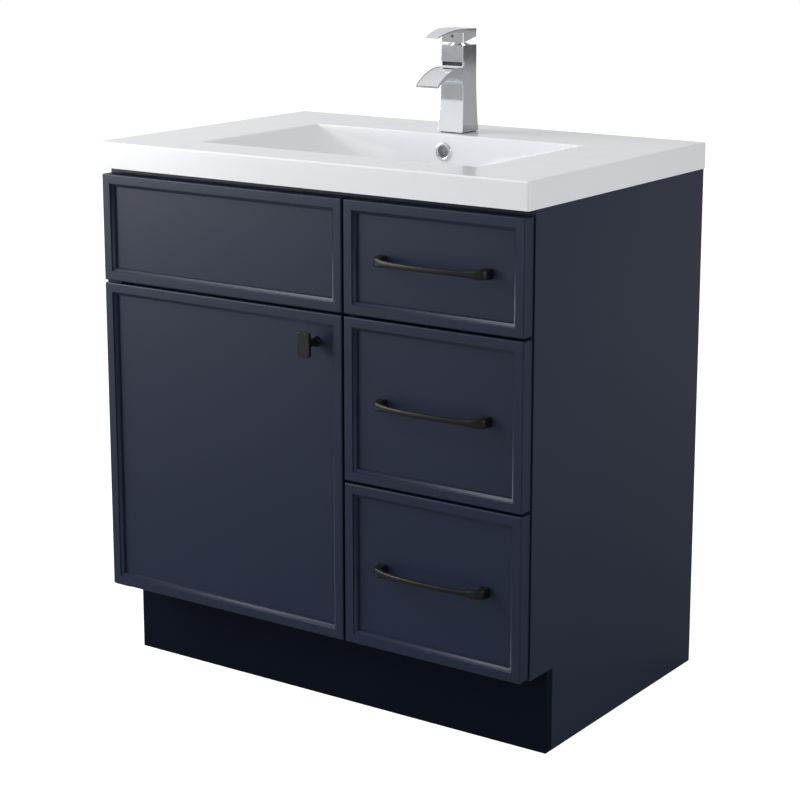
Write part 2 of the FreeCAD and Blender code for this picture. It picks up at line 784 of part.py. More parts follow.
def drawer_box(name, row, height):
    """Two sides, two ends and a bottom sheet that sits in grooves."""
    front, back = "-front_gap", "drawer_depth - front_gap"
    low, high = f"{row} + box_lift", f"{row} + box_lift + {height}"
    inner_left, inner_right = "box_left + drawer_wall", "box_right - drawer_wall"
    inner_front, inner_back = f"{front} + drawer_wall", f"{back} - drawer_wall"
    sheet_low = f"{low} + drawer_groove_lift"
    sheet_high = f"{sheet_low} + drawer_bottom_sheet"

    groove_low = (f"{inner_left} - drawer_groove", f"{inner_front} - drawer_groove")
    groove_high = (f"{inner_right} + drawer_groove", f"{inner_back} + drawer_groove")

    def groove(part):
        return box(f"{name}_{part}_groove", groove_low + (f"{sheet_low} - groove_fit",),
                   groove_high + (f"{sheet_high} + groove_fit",))

    sides = []
    for side, start, end in (("left", "box_left", inner_left), ("right", inner_right, "box_right")):
        board = box(f"{name}_{side}_board", (start, front, low), (end, back, high))
        sides.append(cut(f"{name}_{side}_side", board, [groove(side)]))
    ends = []
    for end, start, stop in (("front", front, inner_front), ("back", inner_back, back)):
        board = box(f"{name}_{end}_board", (inner_left, start, low), (inner_right, stop, high))
        ends.append(cut(f"{name}_{end}_end", board, [groove(end)]))
    bottom = box(f"{name}_bottom",
                 tuple(f"{edge} + groove_fit" for edge in groove_low) + (sheet_low,),
                 tuple(f"{edge} - groove_fit" for edge in groove_high) + (sheet_high,))
    return [group(f"{name}_sides", sides), group(f"{name}_ends", ends), bottom]


def drawer(name, row, front_height, box_height):
    pieces = [
        framed_front(f"{name}_front", "right_front_x", row, "right_front_width", front_height),
        drawer_pull(f"{name}_pull", f"{row} + {front_height} / 2"),
    ]
    pieces += drawer_box(name, row, box_height)
    middle_inset = "(slide_gap - slide_member) / 2"
    middle_height = "slide_height - 2 * slide_step"
    inner_height = f"{middle_height} - 2 * slide_step"
    pieces += [
        slide_pair(f"{name}_slides_carcass", row, "0", "slide_height", True),
        slide_pair(f"{name}_slides_middle", row, middle_inset, middle_height, True),
        slide_pair(f"{name}_slides_drawer", row, "slide_gap - slide_member", inner_height, False),
    ]
    return pieces


# Basin top
def vanity_top():
    """A slab with a trough-shaped basin, an overflow duct and holes for the drain and the faucet."""
    body = new_body("vanity_top", "0", "0", "0")
    slab = new_sketch(body, "slab", "XY_Plane", "carcass_height")
    rectangle(slab, "-half_width - top_side_overhang", "top_front", "half_width + top_side_overhang",
              "carcass_depth")
    pad(body, slab, "top_thickness")
    tub = new_sketch(body, "tub", "XZ_Plane", "-(basin_front - basin_wall)")
    outline(tub, [("basin_x - tub_top_half", "carcass_height"), ("basin_x - tub_bottom_half", "basin_under"),
                  ("basin_x + tub_bottom_half", "basin_under"), ("basin_x + tub_top_half", "carcass_height")])
    pad(body, tub, "basin_width + basin_wall + basin_back_wall", backwards=True)
    seat = new_sketch(body, "drain_seat", "XY_Plane", "duct_bottom")
    fore, rear = "basin_middle - gasket_radius", "basin_middle + gasket_radius"
    seat_left, seat_right = "basin_x - gasket_radius", "basin_x + gasket_radius"
    duct_left, duct_right = "basin_x - duct_block_width / 2", "basin_x + duct_block_width / 2"
    outline(seat, [(seat_left, fore), (seat_right, fore), (seat_right, rear), (duct_right, rear),
                   (duct_right, "tub_back"), (duct_left, "tub_back"), (duct_left, rear), (seat_left, rear)])
    pad(body, seat, "duct_block_height")
    bowl = new_sketch(body, "bowl", "XZ_Plane", "-basin_front")
    outline(bowl, [("basin_x - basin_length / 2", "deck"), ("basin_x - basin_floor_half", "basin_floor"),
                   ("basin_x + basin_floor_half", "basin_floor"), ("basin_x + basin_length / 2", "deck")])
    pocket(body, bowl, "basin_width")
    holes = (
        ("drain_hole", "XY_Plane", "basin_floor", "basin_middle", "drain_hole_radius",
         "basin_floor - duct_bottom", False),
        ("overflow_hole", "XZ_Plane", "-basin_back", "overflow_z", "overflow_radius",
         "overflow_bore_depth", False),
        ("duct_down", "XY_Plane", "overflow_z", "duct_y", "overflow_duct_radius",
         "overflow_z - duct_z", False),
        ("duct_forward", "XZ_Plane", "-duct_y", "duct_z", "overflow_duct_radius",
         "duct_y - basin_middle", True),
        ("faucet_hole", "XY_Plane", "deck", "faucet_y", "shank_radius + shank_hole_fit",
         "top_thickness", False),
    )
    for name, plane, offset, across, radius, depth, backwards in holes:
        hole = new_sketch(body, name, plane, offset)
        circle(hole, "basin_x", across, radius)
        pocket(body, hole, depth, backwards)
    front, back = number("top_front"), number("carcass_depth")
    side = number("half_width + top_side_overhang")
    level = number("deck")

    def on_slab_corner(edge):
        middle = edge.CenterOfMass
        on_side = at(abs(middle.x), side)
        on_end = at(middle.y, front) or at(middle.y, back)
        upright = on_side and on_end and runs_along(edge, "z")
        return upright or (at(middle.z, level) and (on_side or on_end))

    round_edges(body, "slab_rounding", "top_rounding", on_slab_corner)
    return body


def overflow_ring():
    """A flanged sleeve in the overflow hole."""
    start = ("basin_x", "basin_back - ring_flange_thickness", "overflow_z")
    flange = rod("ring_flange", start, "ring_flange_radius", "ring_flange_thickness", "y")
    sleeve = rod("ring_sleeve", start, "overflow_radius - sleeve_fit",
                 "ring_flange_thickness + ring_sleeve_length", "y")
    bore = rod("ring_bore", ("basin_x", "basin_back - ring_flange_thickness - fit_gap", "overflow_z"),
               "overflow_radius - sleeve_fit - ring_sleeve_wall",
               "ring_flange_thickness + ring_sleeve_length + 2 * fit_gap", "y")
    return cut("overflow_ring", join("ring_blank", [flange, sleeve]), [bore])


# Drain
def drain_flange():
    """The flange and its long throat, with two overflow ports and a cross bar that guides the stopper."""
    centre = ("basin_x", "basin_middle")
    flange = rod("drain_disc", centre + ("basin_floor",), "drain_flange_radius", "drain_flange_thickness")
    throat = rod("drain_throat", centre + ("drain_bottom",), "throat_outer", "drain_body_length")
    bore = rod("drain_bore", centre + ("drain_bottom - fit_gap",), "drain_throat_radius",
               "drain_body_length + 2 * fit_gap")
    ports = rod("drain_ports", ("basin_x", "basin_middle - throat_outer - fit_gap", "duct_z"),
                "drain_port_radius", "2 * (throat_outer + fit_gap)", "y")
    tube = cut("drain_tube", join("drain_blank", [flange, throat]), [bore, ports])
    bar_low = "drain_top - spider_drop - spider_thickness"
    bar = box("spider_bar",
              ("basin_x - drain_throat_radius - fit_gap", "basin_middle - spider_bar_width / 2", bar_low),
              ("basin_x + drain_throat_radius + fit_gap", "basin_middle + spider_bar_width / 2",
               "drain_top - spider_drop"))
    hub = rod("spider_hub", centre + (bar_low,), "spider_radius", "spider_thickness")
    guide = rod("spider_bore", centre + (f"{bar_low} - fit_gap",), "stopper_stem_radius + stem_fit",
                "spider_thickness + 2 * fit_gap")
    return join("drain_flange", [tube, cut("drain_spider", join("spider_blank", [bar, hub]), [guide])])


def washer(name, x, y, z, outer, inner, thickness):
    disc = rod(name + "_disc", (x, y, z), outer, thickness)
    bore = rod(name + "_bore", (x, y, f"{z} - fit_gap"), inner, f"{thickness} + 2 * fit_gap")
    return cut(name, disc, [bore])


def hex_nut(name, x, y, z, across_corners_half, inner, thickness):
    prism = doc.addObject("Part::Prism", name + "_prism")
    prism.Polygon = 6
    bind(prism, "Circumradius", across_corners_half)
    bind(prism, "Height", thickness)
    place(prism, x, y, z)
    bore = rod(name + "_bore", (x, y, f"{z} - fit_gap"), inner, f"{thickness} + 2 * fit_gap")
    return cut(name, prism, [bore])


def drain_tailpiece():
    """The outlet pipe, with a collar under the throat."""
    centre = ("basin_x", "basin_middle")
    collar = rod("tail_collar", centre + ("drain_bottom - tail_collar_height",), "throat_outer",
                 "tail_collar_height")
    pipe = rod("tail_pipe", centre + ("tail_bottom",), "tailpiece_radius", "tailpiece_length")
    bore = rod("tail_bore", centre + ("tail_bottom - fit_gap",), "tailpiece_radius - tailpiece_wall",
               "tailpiece_length + 2 * fit_gap")
    return cut("drain_tailpiece", join("tail_blank", [collar, pipe]), [bore])


def drain_stopper():
    """The lift-up stopper: a round cap on a stem."""
    centre = ("basin_x", "basin_middle")
    cap_low = "drain_top + stopper_proud - stopper_thickness"
    cap = rod("stopper_cap", centre + (cap_low,), "stopper_radius", "stopper_thickness")
    stem = rod("stopper_stem", centre + (f"{cap_low} - stopper_stem_length",), "stopper_stem_radius",
               "stopper_stem_length + stopper_thickness / 2")
    return join("drain_stopper", [cap, stem])


def drain():
    centre = ("basin_x", "basin_middle")
    return [
        overflow_ring(),
        drain_flange(),
        washer("drain_gasket", *centre, "nut_top", "gasket_radius", "throat_outer + fit_gap",
               "gasket_thickness"),
        hex_nut("drain_nut", *centre, "nut_top - drain_nut_thickness", "drain_nut_radius",
                "throat_outer + fit_gap", "drain_nut_thickness"),
        drain_tailpiece(),
        drain_stopper(),
    ]


# Faucet
def faucet_gasket():
    plate = box("gasket_plate", ("basin_x - faucet_width / 2", "faucet_front", "deck"),
                ("basin_x + faucet_width / 2", "faucet_front + faucet_depth", "faucet_foot"))
    bore = rod("gasket_bore", ("basin_x", "faucet_y", "deck - fit_gap"), "shank_radius + shank_hole_fit",
               "faucet_gasket_thickness + 2 * fit_gap")
    return cut("faucet_gasket", plate, [bore])


def faucet_body():
    """A square column on a flared foot, with a broad arched spout and a slot that the water leaves by."""
    body = new_body("faucet_body", "basin_x", "faucet_front", "0")
    half, deep = "faucet_width / 2", "faucet_depth"
    foot = new_sketch(body, "faucet_foot_outline", "XY_Plane", "faucet_foot")
    rectangle(foot, f"-({half} + faucet_flare)", "-faucet_flare", f"{half} + faucet_flare",
              f"{deep} + faucet_flare")
    neck = new_sketch(body, "faucet_neck_outline", "XY_Plane", "faucet_foot + faucet_flare_height")
    rectangle(neck, f"-{half}", "0", half, deep)
    flare = body.newObject("PartDesign::AdditiveLoft", "faucet_flare_loft")
    flare.Profile = foot
    flare.Sections = [neck]
    column = new_sketch(body, "faucet_column", "XY_Plane", "faucet_foot + faucet_flare_height")
    rectangle(column, f"-{half}", "0", half, deep)
    pad(body, column, "faucet_top - faucet_foot - faucet_flare_height")
    spout = new_sketch(body, "spout", "YZ_Plane", f"-{half}")
    root, tip = "deck + spout_root_height", "deck + spout_tip_height"
    under = f"{root} - spout_root_thickness"
    mid_top = f"({root} + {tip}) / 2 + spout_crown"
    mid_under = f"({under} + {tip} - spout_tip_thickness) / 2 + spout_crown"
    outline(spout, [("spout_bite", root, "-spout_reach / 2", mid_top), ("-spout_reach", tip),
                    ("-spout_reach", f"{tip} - spout_tip_thickness", "-spout_reach / 2", mid_under),
                    ("spout_bite", under)])
    pad(body, spout, "faucet_width")
    channel = new_sketch(body, "spout_channel", "YZ_Plane", "-channel_width / 2")
    outline(channel, [("0", f"{root} - channel_depth", "-spout_reach / 2", f"{mid_top} - channel_depth"),
                      ("-spout_reach - fit_gap", f"{tip} - channel_depth"),
                      ("-spout_reach - fit_gap", f"{root} + spout_crown"), ("0", f"{root} + spout_crown")])
    pocket(body, channel, "channel_width", backwards=True)
    slot = new_sketch(body, "water_slot", "XZ_Plane")
    rectangle(slot, "-channel_width / 2", "head_bottom - slot_height", "channel_width / 2", "head_bottom")
    pocket(body, slot, "slot_depth")
    seat = new_sketch(body, "cartridge_seat", "XY_Plane", "faucet_top")
    circle(seat, "0", f"{deep} / 2", "cartridge_hole_radius")
    pocket(body, seat, "cartridge_hole_depth")
    foot_top, side, back = number("faucet_foot + faucet_flare_height"), number(half), number(deep)

    def on_back_corner(edge):
        middle = edge.CenterOfMass
        corner = at(abs(middle.x), side) and at(middle.y, back)
        return corner and middle.z > foot_top and runs_along(edge, "z")

    round_edges(body, "column_rounding", "faucet_rounding", on_back_corner)
    return body


def faucet_collar():
    """The turning part of the cartridge: a disc, a square stem and the cross pin that the handle tilts on."""
    low = "faucet_top + cartridge_rise + collar_gap"
    disc = rod("collar_disc", ("basin_x", "faucet_y", low), "collar_radius",
               "collar_rise - cartridge_rise - collar_gap")
    stem = box("collar_stem", ("basin_x - stem_side / 2", "faucet_y - stem_side / 2", low),
               ("basin_x + stem_side / 2", "faucet_y + stem_side / 2", "pivot_z + stem_side / 2"))
    pin_end = "faucet_width / 2 - handle_wall + handle_pin_bite"
    pin = rod("collar_pin", (f"basin_x - ({pin_end})", "faucet_y", "pivot_z"), "handle_pin_radius",
              f"2 * ({pin_end})", "x")
    return join("faucet_collar", [disc, stem, pin])


def faucet_handle():
    """A hollow block with a broad tapering lever in front; its underside rises towards the back."""
    body = new_body("faucet_handle", "basin_x", "faucet_front", "0")
    half, deep, top = "faucet_width / 2", "faucet_depth", "handle_bottom + handle_height"
    side = new_sketch(body, "handle_side", "YZ_Plane", f"-{half}")
    outline(side, [("0", "handle_bottom"), (deep, "handle_bottom + handle_rear_rise"),
                   (deep, top), ("0", top)])
    pad(body, side, "faucet_width")
    root = new_sketch(body, "lever_root", "XZ_Plane")
    rectangle(root, f"-{half}", f"{top} - lever_thickness - handle_wall", half, top)
    tip = new_sketch(body, "lever_tip", "XZ_Plane", "lever_reach")
    rectangle(tip, "-lever_tip_width / 2", f"{top} - lever_tip_drop - lever_thickness / 2",
              "lever_tip_width / 2", f"{top} - lever_tip_drop")
    lever = body.newObject("PartDesign::AdditiveLoft", "lever_loft")
    lever.Profile = root
    lever.Sections = [tip]
    hollow = new_sketch(body, "handle_hollow", "XY_Plane", f"{top} - handle_wall")
    rectangle(hollow, f"-{half} + handle_wall", "handle_wall",
              f"{half} - handle_wall", f"{deep} - handle_wall")
    pocket(body, hollow, "handle_height")
    bore_end = f"({half} - handle_wall + handle_pin_bite + fit_gap)"
    bores = new_sketch(body, "handle_bores", "YZ_Plane", f"-{bore_end}")
    circle(bores, f"{deep} / 2", "pivot_z", "handle_pin_radius + handle_running_fit")
    pocket(body, bores, f"2 * {bore_end}", backwards=True)
    return body


def faucet():
    return [
        faucet_gasket(),
        faucet_body(),
        rod("faucet_cartridge", ("basin_x", "faucet_y", "faucet_top - cartridge_hole_depth"),
            "cartridge_radius", "cartridge_hole_depth + cartridge_rise"),
        faucet_collar(),
        faucet_handle(),
        rod("handle_cap", ("basin_x", "faucet_front - cap_thickness",
                           "handle_bottom + handle_height - cap_drop"),
            "cap_radius", "cap_thickness", "y"),
        rod("faucet_shank", ("basin_x", "faucet_y", "deck - shank_length"), "shank_radius",
            "shank_length + faucet_gasket_thickness"),
        hex_nut("faucet_nut", "basin_x", "faucet_y", "carcass_height - mount_nut_thickness",
                "mount_nut_radius", "shank_radius", "mount_nut_thickness"),
    ]


# Build, check and write
nodes = carcass()
nodes += [
    framed_front("false_front", "left_front_x", "top_row", "left_front_width", "top_front_height"),
    false_front_clips(),
    door_panel(),
    door_knob(),
    door_bumpers(),
    hinge_leaves_on_carcass(),
    hinge_leaves_on_door(),
]
nodes += drawer("top_drawer", "top_row", "top_front_height", "top_box_height")
nodes += drawer("middle_drawer", "middle_row", "middle_front_height", "middle_box_height")
nodes += drawer("bottom_drawer", "bottom_row", "bottom_front_height", "bottom_box_height")
nodes += [vanity_top()]
nodes += drain()
nodes += faucet()

doc.recompute()
for item in doc.Objects:
    if "Invalid" in item.State or "Error" in item.State:
        raise RuntimeError(f"{item.Name} did not compute: {item.State}")
for node in nodes:
    node.Label = node.Name
    if node.Shape.isNull() or not node.Shape.isValid() or not node.Shape.Solids:
        raise RuntimeError(f"{node.Label} has no valid shape")

os.makedirs("parts", exist_ok=True)
for node in nodes:
    node.Shape.exportStep(f"parts/{node.Label}.step")
    bounds = node.Shape.BoundBox
    print(f"{node.Label}: {len(node.Shape.Solids)} solid(s), x {bounds.XMin:.1f} {bounds.XMax:.1f}, "
          f"y {bounds.YMin:.1f} {bounds.YMax:.1f}, z {bounds.ZMin:.1f} {bounds.ZMax:.1f}")
print(f"{len(nodes)} nodes")
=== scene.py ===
import json
import math

import bmesh
import bpy
from mathutils import Matrix, Vector


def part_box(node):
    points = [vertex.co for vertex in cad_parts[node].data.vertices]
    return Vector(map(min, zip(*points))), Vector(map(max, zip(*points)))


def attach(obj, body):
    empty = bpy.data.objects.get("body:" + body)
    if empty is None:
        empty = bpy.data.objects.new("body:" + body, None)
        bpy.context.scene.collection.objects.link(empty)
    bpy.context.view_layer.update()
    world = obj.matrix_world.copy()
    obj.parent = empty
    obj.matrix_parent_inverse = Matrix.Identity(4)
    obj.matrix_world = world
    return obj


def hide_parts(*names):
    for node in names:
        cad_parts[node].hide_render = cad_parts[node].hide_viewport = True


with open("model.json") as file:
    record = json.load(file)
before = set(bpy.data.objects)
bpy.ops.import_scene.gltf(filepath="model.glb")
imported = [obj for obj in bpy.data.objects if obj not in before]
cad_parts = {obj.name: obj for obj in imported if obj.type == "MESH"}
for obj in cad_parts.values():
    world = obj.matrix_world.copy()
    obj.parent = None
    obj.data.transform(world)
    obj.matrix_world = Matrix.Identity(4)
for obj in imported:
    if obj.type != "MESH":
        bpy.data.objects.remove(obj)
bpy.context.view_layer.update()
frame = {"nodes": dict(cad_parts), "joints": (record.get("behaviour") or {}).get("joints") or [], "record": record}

mm = 0.001
scene = bpy.context.scene
joints = {joint["name"]: joint for joint in frame["joints"]}
drawerNames = ("top_drawer", "middle_drawer", "bottom_drawer")
meshLook = {"mergeWithin": 1e-6, "sharpAngle": 35, "roundingSegments": 3}
print("frame loaded:", len(frame["nodes"]), "nodes")


# Mesh helpers. Points are in metres, in the frame's own axes. The settings further on are in
# millimetres and degrees, apart from those of the stage, the lights and the camera.

def boxShape(low, high):
    low, high = Vector(low), Vector(high)
    bm = bmesh.new()
    size = Matrix.Diagonal((*(high - low), 1))
    bmesh.ops.create_cube(bm, size=1, matrix=Matrix.Translation((low + high) / 2) @ size)
    return bm


def rodShape(start, end, radius, segments=48):
    start, end = Vector(start), Vector(end)
    turn = (end - start).to_track_quat("Z", "Y").to_matrix().to_4x4()
    bm = bmesh.new()
    bmesh.ops.create_cone(bm, cap_ends=True, segments=segments, radius1=radius, radius2=radius,
                          depth=(end - start).length,
                          matrix=Matrix.Translation((start + end) / 2) @ turn)
    return bm


def slabShape(outline, lowX, highX):
    # an outline of (y, z) points, pushed along x
    bm = bmesh.new()
    rim = [bm.verts.new((lowX, y, z)) for y, z in outline]
    face = bm.faces.new(rim)
    grown = bmesh.ops.extrude_face_region(bm, geom=[face])
    moved = [item for item in grown["geom"] if isinstance(item, bmesh.types.BMVert)]
    bmesh.ops.translate(bm, verts=moved, vec=(highX - lowX, 0, 0))
    bmesh.ops.recalc_face_normals(bm, faces=bm.faces)
    return bm


def latheShape(profile, centre, axis, steps):
    # (radius, height) points, from axis to axis or else closed, spun round an axis through the centre
    axis = Vector(axis)
    side = axis.orthogonal().normalized()
    bm = bmesh.new()
    points = [bm.verts.new(Vector(centre) + side * radius + axis * height)
              for radius, height in profile]
    edges = [bm.edges.new(pair) for pair in zip(points, points[1:])]
    if profile[0][0] > 0:
        edges.append(bm.edges.new((points[-1], points[0])))
    bmesh.ops.spin(bm, geom=points + edges, cent=centre, axis=axis, angle=math.tau, steps=steps,
                   use_merge=True, use_duplicate=False)
    bmesh.ops.remove_doubles(bm, verts=bm.verts, dist=meshLook["mergeWithin"])
    bmesh.ops.recalc_face_normals(bm, faces=bm.faces)
    return bm


def sweepShape(stations, points):
    # stations: (centre, across, up, half width, half height, squareness), joined end to end;
    # a squareness of 2 is an ellipse, and more comes closer to a rectangle
    bm = bmesh.new()
    start = bmesh.ops.create_circle(bm, cap_ends=True, segments=points, radius=1)
    ring = start["verts"]
    angles = [math.atan2(vert.co.y, vert.co.x) for vert in ring]

    def shapeRing(verts, station):
        centre, across, up, halfWidth, halfHeight, squareness = station
        power = 2 / squareness
        for vert, angle in zip(verts, angles):
            u = math.copysign(abs(math.cos(angle)) ** power, math.cos(angle)) * halfWidth
            v = math.copysign(abs(math.sin(angle)) ** power, math.sin(angle)) * halfHeight
            vert.co = Vector(centre) + Vector(across) * u + Vector(up) * v

    shapeRing(ring, stations[0])
    face = bm.faces[:][0]
    for station in stations[1:]:
        order = list(face.verts)
        spin = [ring.index(vert) for vert in order]
        grown = bmesh.ops.extrude_discrete_faces(bm, faces=[face])
        face = grown["faces"][0]
        newRing = [None] * points
        for vert, place in zip(face.verts, spin):
            newRing[place] = vert
        ring = newRing
        shapeRing(ring, station)
    bmesh.ops.recalc_face_normals(bm, faces=bm.faces)
    return bm


def joinShapes(shapes):
    # several closed shells in one mesh
    whole = bmesh.new()
    for shape in shapes:
        mesh = bpy.data.meshes.new("joined")
        shape.to_mesh(mesh)
        shape.free()
        whole.from_mesh(mesh)
        bpy.data.meshes.remove(mesh)
    return whole


def looseObject(name, bm):
    mesh = bpy.data.meshes.new(name)
    bm.to_mesh(mesh)
    bm.free()
    made = bpy.data.objects.new(name, mesh)
    scene.collection.objects.link(made)
    return made


def carveShape(bm, tools, operation="DIFFERENCE"):
    base = looseObject("carveBase", bm)
    cutters = [looseObject("carveTool", tool) for tool in tools]
    for cutter in cutters:
        step = base.modifiers.new("carve", "BOOLEAN")
        step.operation = operation
        step.solver = "EXACT"
        step.object = cutter
    bpy.context.view_layer.update()
    carved = base.evaluated_get(bpy.context.evaluated_depsgraph_get())
    made = bpy.data.meshes.new_from_object(carved)
    result = bmesh.new()
    result.from_mesh(made)
    bpy.data.meshes.remove(made)
    for item in [base] + cutters:
        mesh = item.data
        bpy.data.objects.remove(item)
        bpy.data.meshes.remove(mesh)
    return result


def addPiece(name, bm, material, body, nodes=(), sharpAngle=meshLook["sharpAngle"],
             edgeRound=0.0):
    # a finished piece, shaded smooth up to the sharp angle, that rides on a body and replaces nodes
    sharp = math.radians(sharpAngle)
    for face in bm.faces:
        face.smooth = True
    for edge in bm.edges:
        edge.smooth = len(edge.link_faces) == 2 and edge.calc_face_angle(0) < sharp
    mesh = bpy.data.meshes.new(name)
    bm.to_mesh(mesh)
    bm.free()
    mesh.materials.append(material)
    piece = bpy.data.objects.new(name, mesh)
    scene.collection.objects.link(piece)
    if edgeRound:
        rounding = piece.modifiers.new("edgeRound", "BEVEL")
        rounding.width = edgeRound
        rounding.segments = meshLook["roundingSegments"]
        rounding.limit_method = "ANGLE"
        rounding.angle_limit = sharp
    normals = piece.modifiers.new("evenNormals", "WEIGHTED_NORMAL")
    normals.keep_sharp = not edgeRound
    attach(piece, body)
    if nodes:
        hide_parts(*nodes)
    return piece


# Material helpers. One group gives a soft mask and a height from the piece's own coordinates.

noiseLook = {"detail": 4, "roughness": 0.55, "middle": 0.5}


def makeSurfaceGroup():
    group = bpy.data.node_groups.new("surfaceVariation", "ShaderNodeTree")
    for name, direction, kind in (("Coordinates", "INPUT", "Vector"), ("Scale", "INPUT", "Float"),
                                  ("Contrast", "INPUT", "Float"), ("Mask", "OUTPUT", "Float"),
                                  ("Height", "OUTPUT", "Float")):
        group.interface.new_socket(name=name, in_out=direction, socket_type="NodeSocket" + kind)
    nodes, links = group.nodes, group.links
    given = nodes.new("NodeGroupInput")
    out = nodes.new("NodeGroupOutput")
    broad = nodes.new("ShaderNodeTexNoise")
    broad.inputs["Detail"].default_value = noiseLook["detail"]
    broad.inputs["Roughness"].default_value = noiseLook["roughness"]
    links.new(given.outputs["Coordinates"], broad.inputs["Vector"])
    links.new(given.outputs["Scale"], broad.inputs["Scale"])
    centred = nodes.new("ShaderNodeMath")
    centred.operation = "SUBTRACT"
    centred.inputs[1].default_value = noiseLook["middle"]
    links.new(broad.outputs["Fac"], centred.inputs[0])
    spreadOut = nodes.new("ShaderNodeMath")
    spreadOut.operation = "MULTIPLY"
    links.new(centred.outputs[0], spreadOut.inputs[0])
    links.new(given.outputs["Contrast"], spreadOut.inputs[1])
    raised = nodes.new("ShaderNodeMath")
    raised.operation = "ADD"
    raised.use_clamp = True
    raised.inputs[1].default_value = noiseLook["middle"]
    links.new(spreadOut.outputs[0], raised.inputs[0])
    links.new(raised.outputs[0], out.inputs["Mask"])
    links.new(broad.outputs["Fac"], out.inputs["Height"])
    return group


surfaceGroup = makeSurfaceGroup()


def startMaterial(name, look):
    # what is the same all over the surface goes straight to the shader
    material = bpy.data.materials.new(name)
    material.use_nodes = True
    nodes = material.node_tree.nodes
    shader = nodes["Principled BSDF"]
    shader.inputs["Metallic"].default_value = look.get("metallic", 0.0)
    shader.inputs["Coat Weight"].default_value = look.get("coat", 0.0)
    shader.inputs["Coat Roughness"].default_value = look.get("coatRoughness", 0.05)
    shader.inputs["Specular IOR Level"].default_value = look.get("specular", 0.5)
    return material, nodes, material.node_tree.links, shader


def variation(nodes, links, scale, contrast, stretch):
    coordinates = nodes.new("ShaderNodeTexCoord")
    mapping = nodes.new("ShaderNodeMapping")
    mapping.inputs["Scale"].default_value = stretch
    links.new(coordinates.outputs["Object"], mapping.inputs["Vector"])
    group = nodes.new("ShaderNodeGroup")
    group.node_tree = surfaceGroup
    group.inputs["Scale"].default_value = scale
    group.inputs["Contrast"].default_value = contrast
    links.new(mapping.outputs["Vector"], group.inputs["Coordinates"])
    return group


def blendColours(nodes, links, mask, first, second):
    mix = nodes.new("ShaderNodeMix")
    mix.data_type = "RGBA"
    mix.inputs["A"].default_value = (*first, 1)
    mix.inputs["B"].default_value = (*second, 1)
    links.new(mask, mix.inputs["Factor"])
    return mix.outputs["Result"]


def spreadValue(nodes, links, mask, low, high):
    spread = nodes.new("ShaderNodeMapRange")
    spread.inputs["To Min"].default_value = low
    spread.inputs["To Max"].default_value = high
    links.new(mask, spread.inputs["Value"])
    return spread.outputs["Result"]


def addBump(nodes, links, height, shader, strength, depth):
    bump = nodes.new("ShaderNodeBump")
    bump.inputs["Strength"].default_value = strength
    bump.inputs["Distance"].default_value = depth * mm
    links.new(height, bump.inputs["Height"])
    links.new(bump.outputs["Normal"], shader.inputs["Normal"])


finishContrast = 2.0
woodFigure = {"grainContrast": 3.2, "poreContrast": 4.0, "bandDistortion": 5.0, "bandDetail": 2.0,
              "ringStrength": 0.45, "bumpStrength": 0.25, "bumpDepth": 0.1}


def makeFinish(name, look):
    # the colour drifts over the surface; a finer pattern gives the roughness and the bump
    material, nodes, links, shader = startMaterial(name, look)
    stretch = look.get("stretch", (1, 1, 1))
    broad = variation(nodes, links, look["driftScale"], finishContrast, stretch)
    fine = variation(nodes, links, look["bumpScale"], finishContrast, stretch)
    links.new(blendColours(nodes, links, broad.outputs["Mask"], look["dark"], look["light"]),
              shader.inputs["Base Color"])
    links.new(spreadValue(nodes, links, fine.outputs["Mask"], *look["roughness"]),
              shader.inputs["Roughness"])
    addBump(nodes, links, fine.outputs["Height"], shader, look["bumpStrength"], look["bumpDepth"])
    return material


def makeWood(name, look):
    # growth rings as stretched bands, with pores over them
    material, nodes, links, shader = startMaterial(name, look)
    figure = woodFigure
    grain = variation(nodes, links, look["grainScale"], figure["grainContrast"], look["stretch"])
    pores = variation(nodes, links, look["poreScale"], figure["poreContrast"], look["stretch"])
    bands = nodes.new("ShaderNodeTexWave")
    bands.wave_type = "BANDS"
    bands.bands_direction = look.get("bandsAlong", "X")
    bands.inputs["Scale"].default_value = look["bandScale"]
    bands.inputs["Distortion"].default_value = figure["bandDistortion"]
    bands.inputs["Detail"].default_value = figure["bandDetail"]
    mapping = next(node for node in nodes if node.type == "MAPPING")
    links.new(mapping.outputs["Vector"], bands.inputs["Vector"])
    base = blendColours(nodes, links, grain.outputs["Mask"], look["dark"], look["light"])
    mix = nodes.new("ShaderNodeMix")
    mix.data_type = "RGBA"
    mix.blend_type = "MULTIPLY"
    mix.inputs["B"].default_value = (*look["ring"], 1)
    softened = spreadValue(nodes, links, bands.outputs["Fac"], 0.0, figure["ringStrength"])
    links.new(softened, mix.inputs["Factor"])
    links.new(base, mix.inputs["A"])
    links.new(mix.outputs["Result"], shader.inputs["Base Color"])
    links.new(spreadValue(nodes, links, pores.outputs["Mask"], *look["roughness"]),
              shader.inputs["Roughness"])
    addBump(nodes, links, pores.outputs["Height"], shader, figure["bumpStrength"], figure["bumpDepth"])
    return material


# Bump depths are in millimetres, and scales are per metre. A stretch below 1 draws the pattern out
# along that axis.

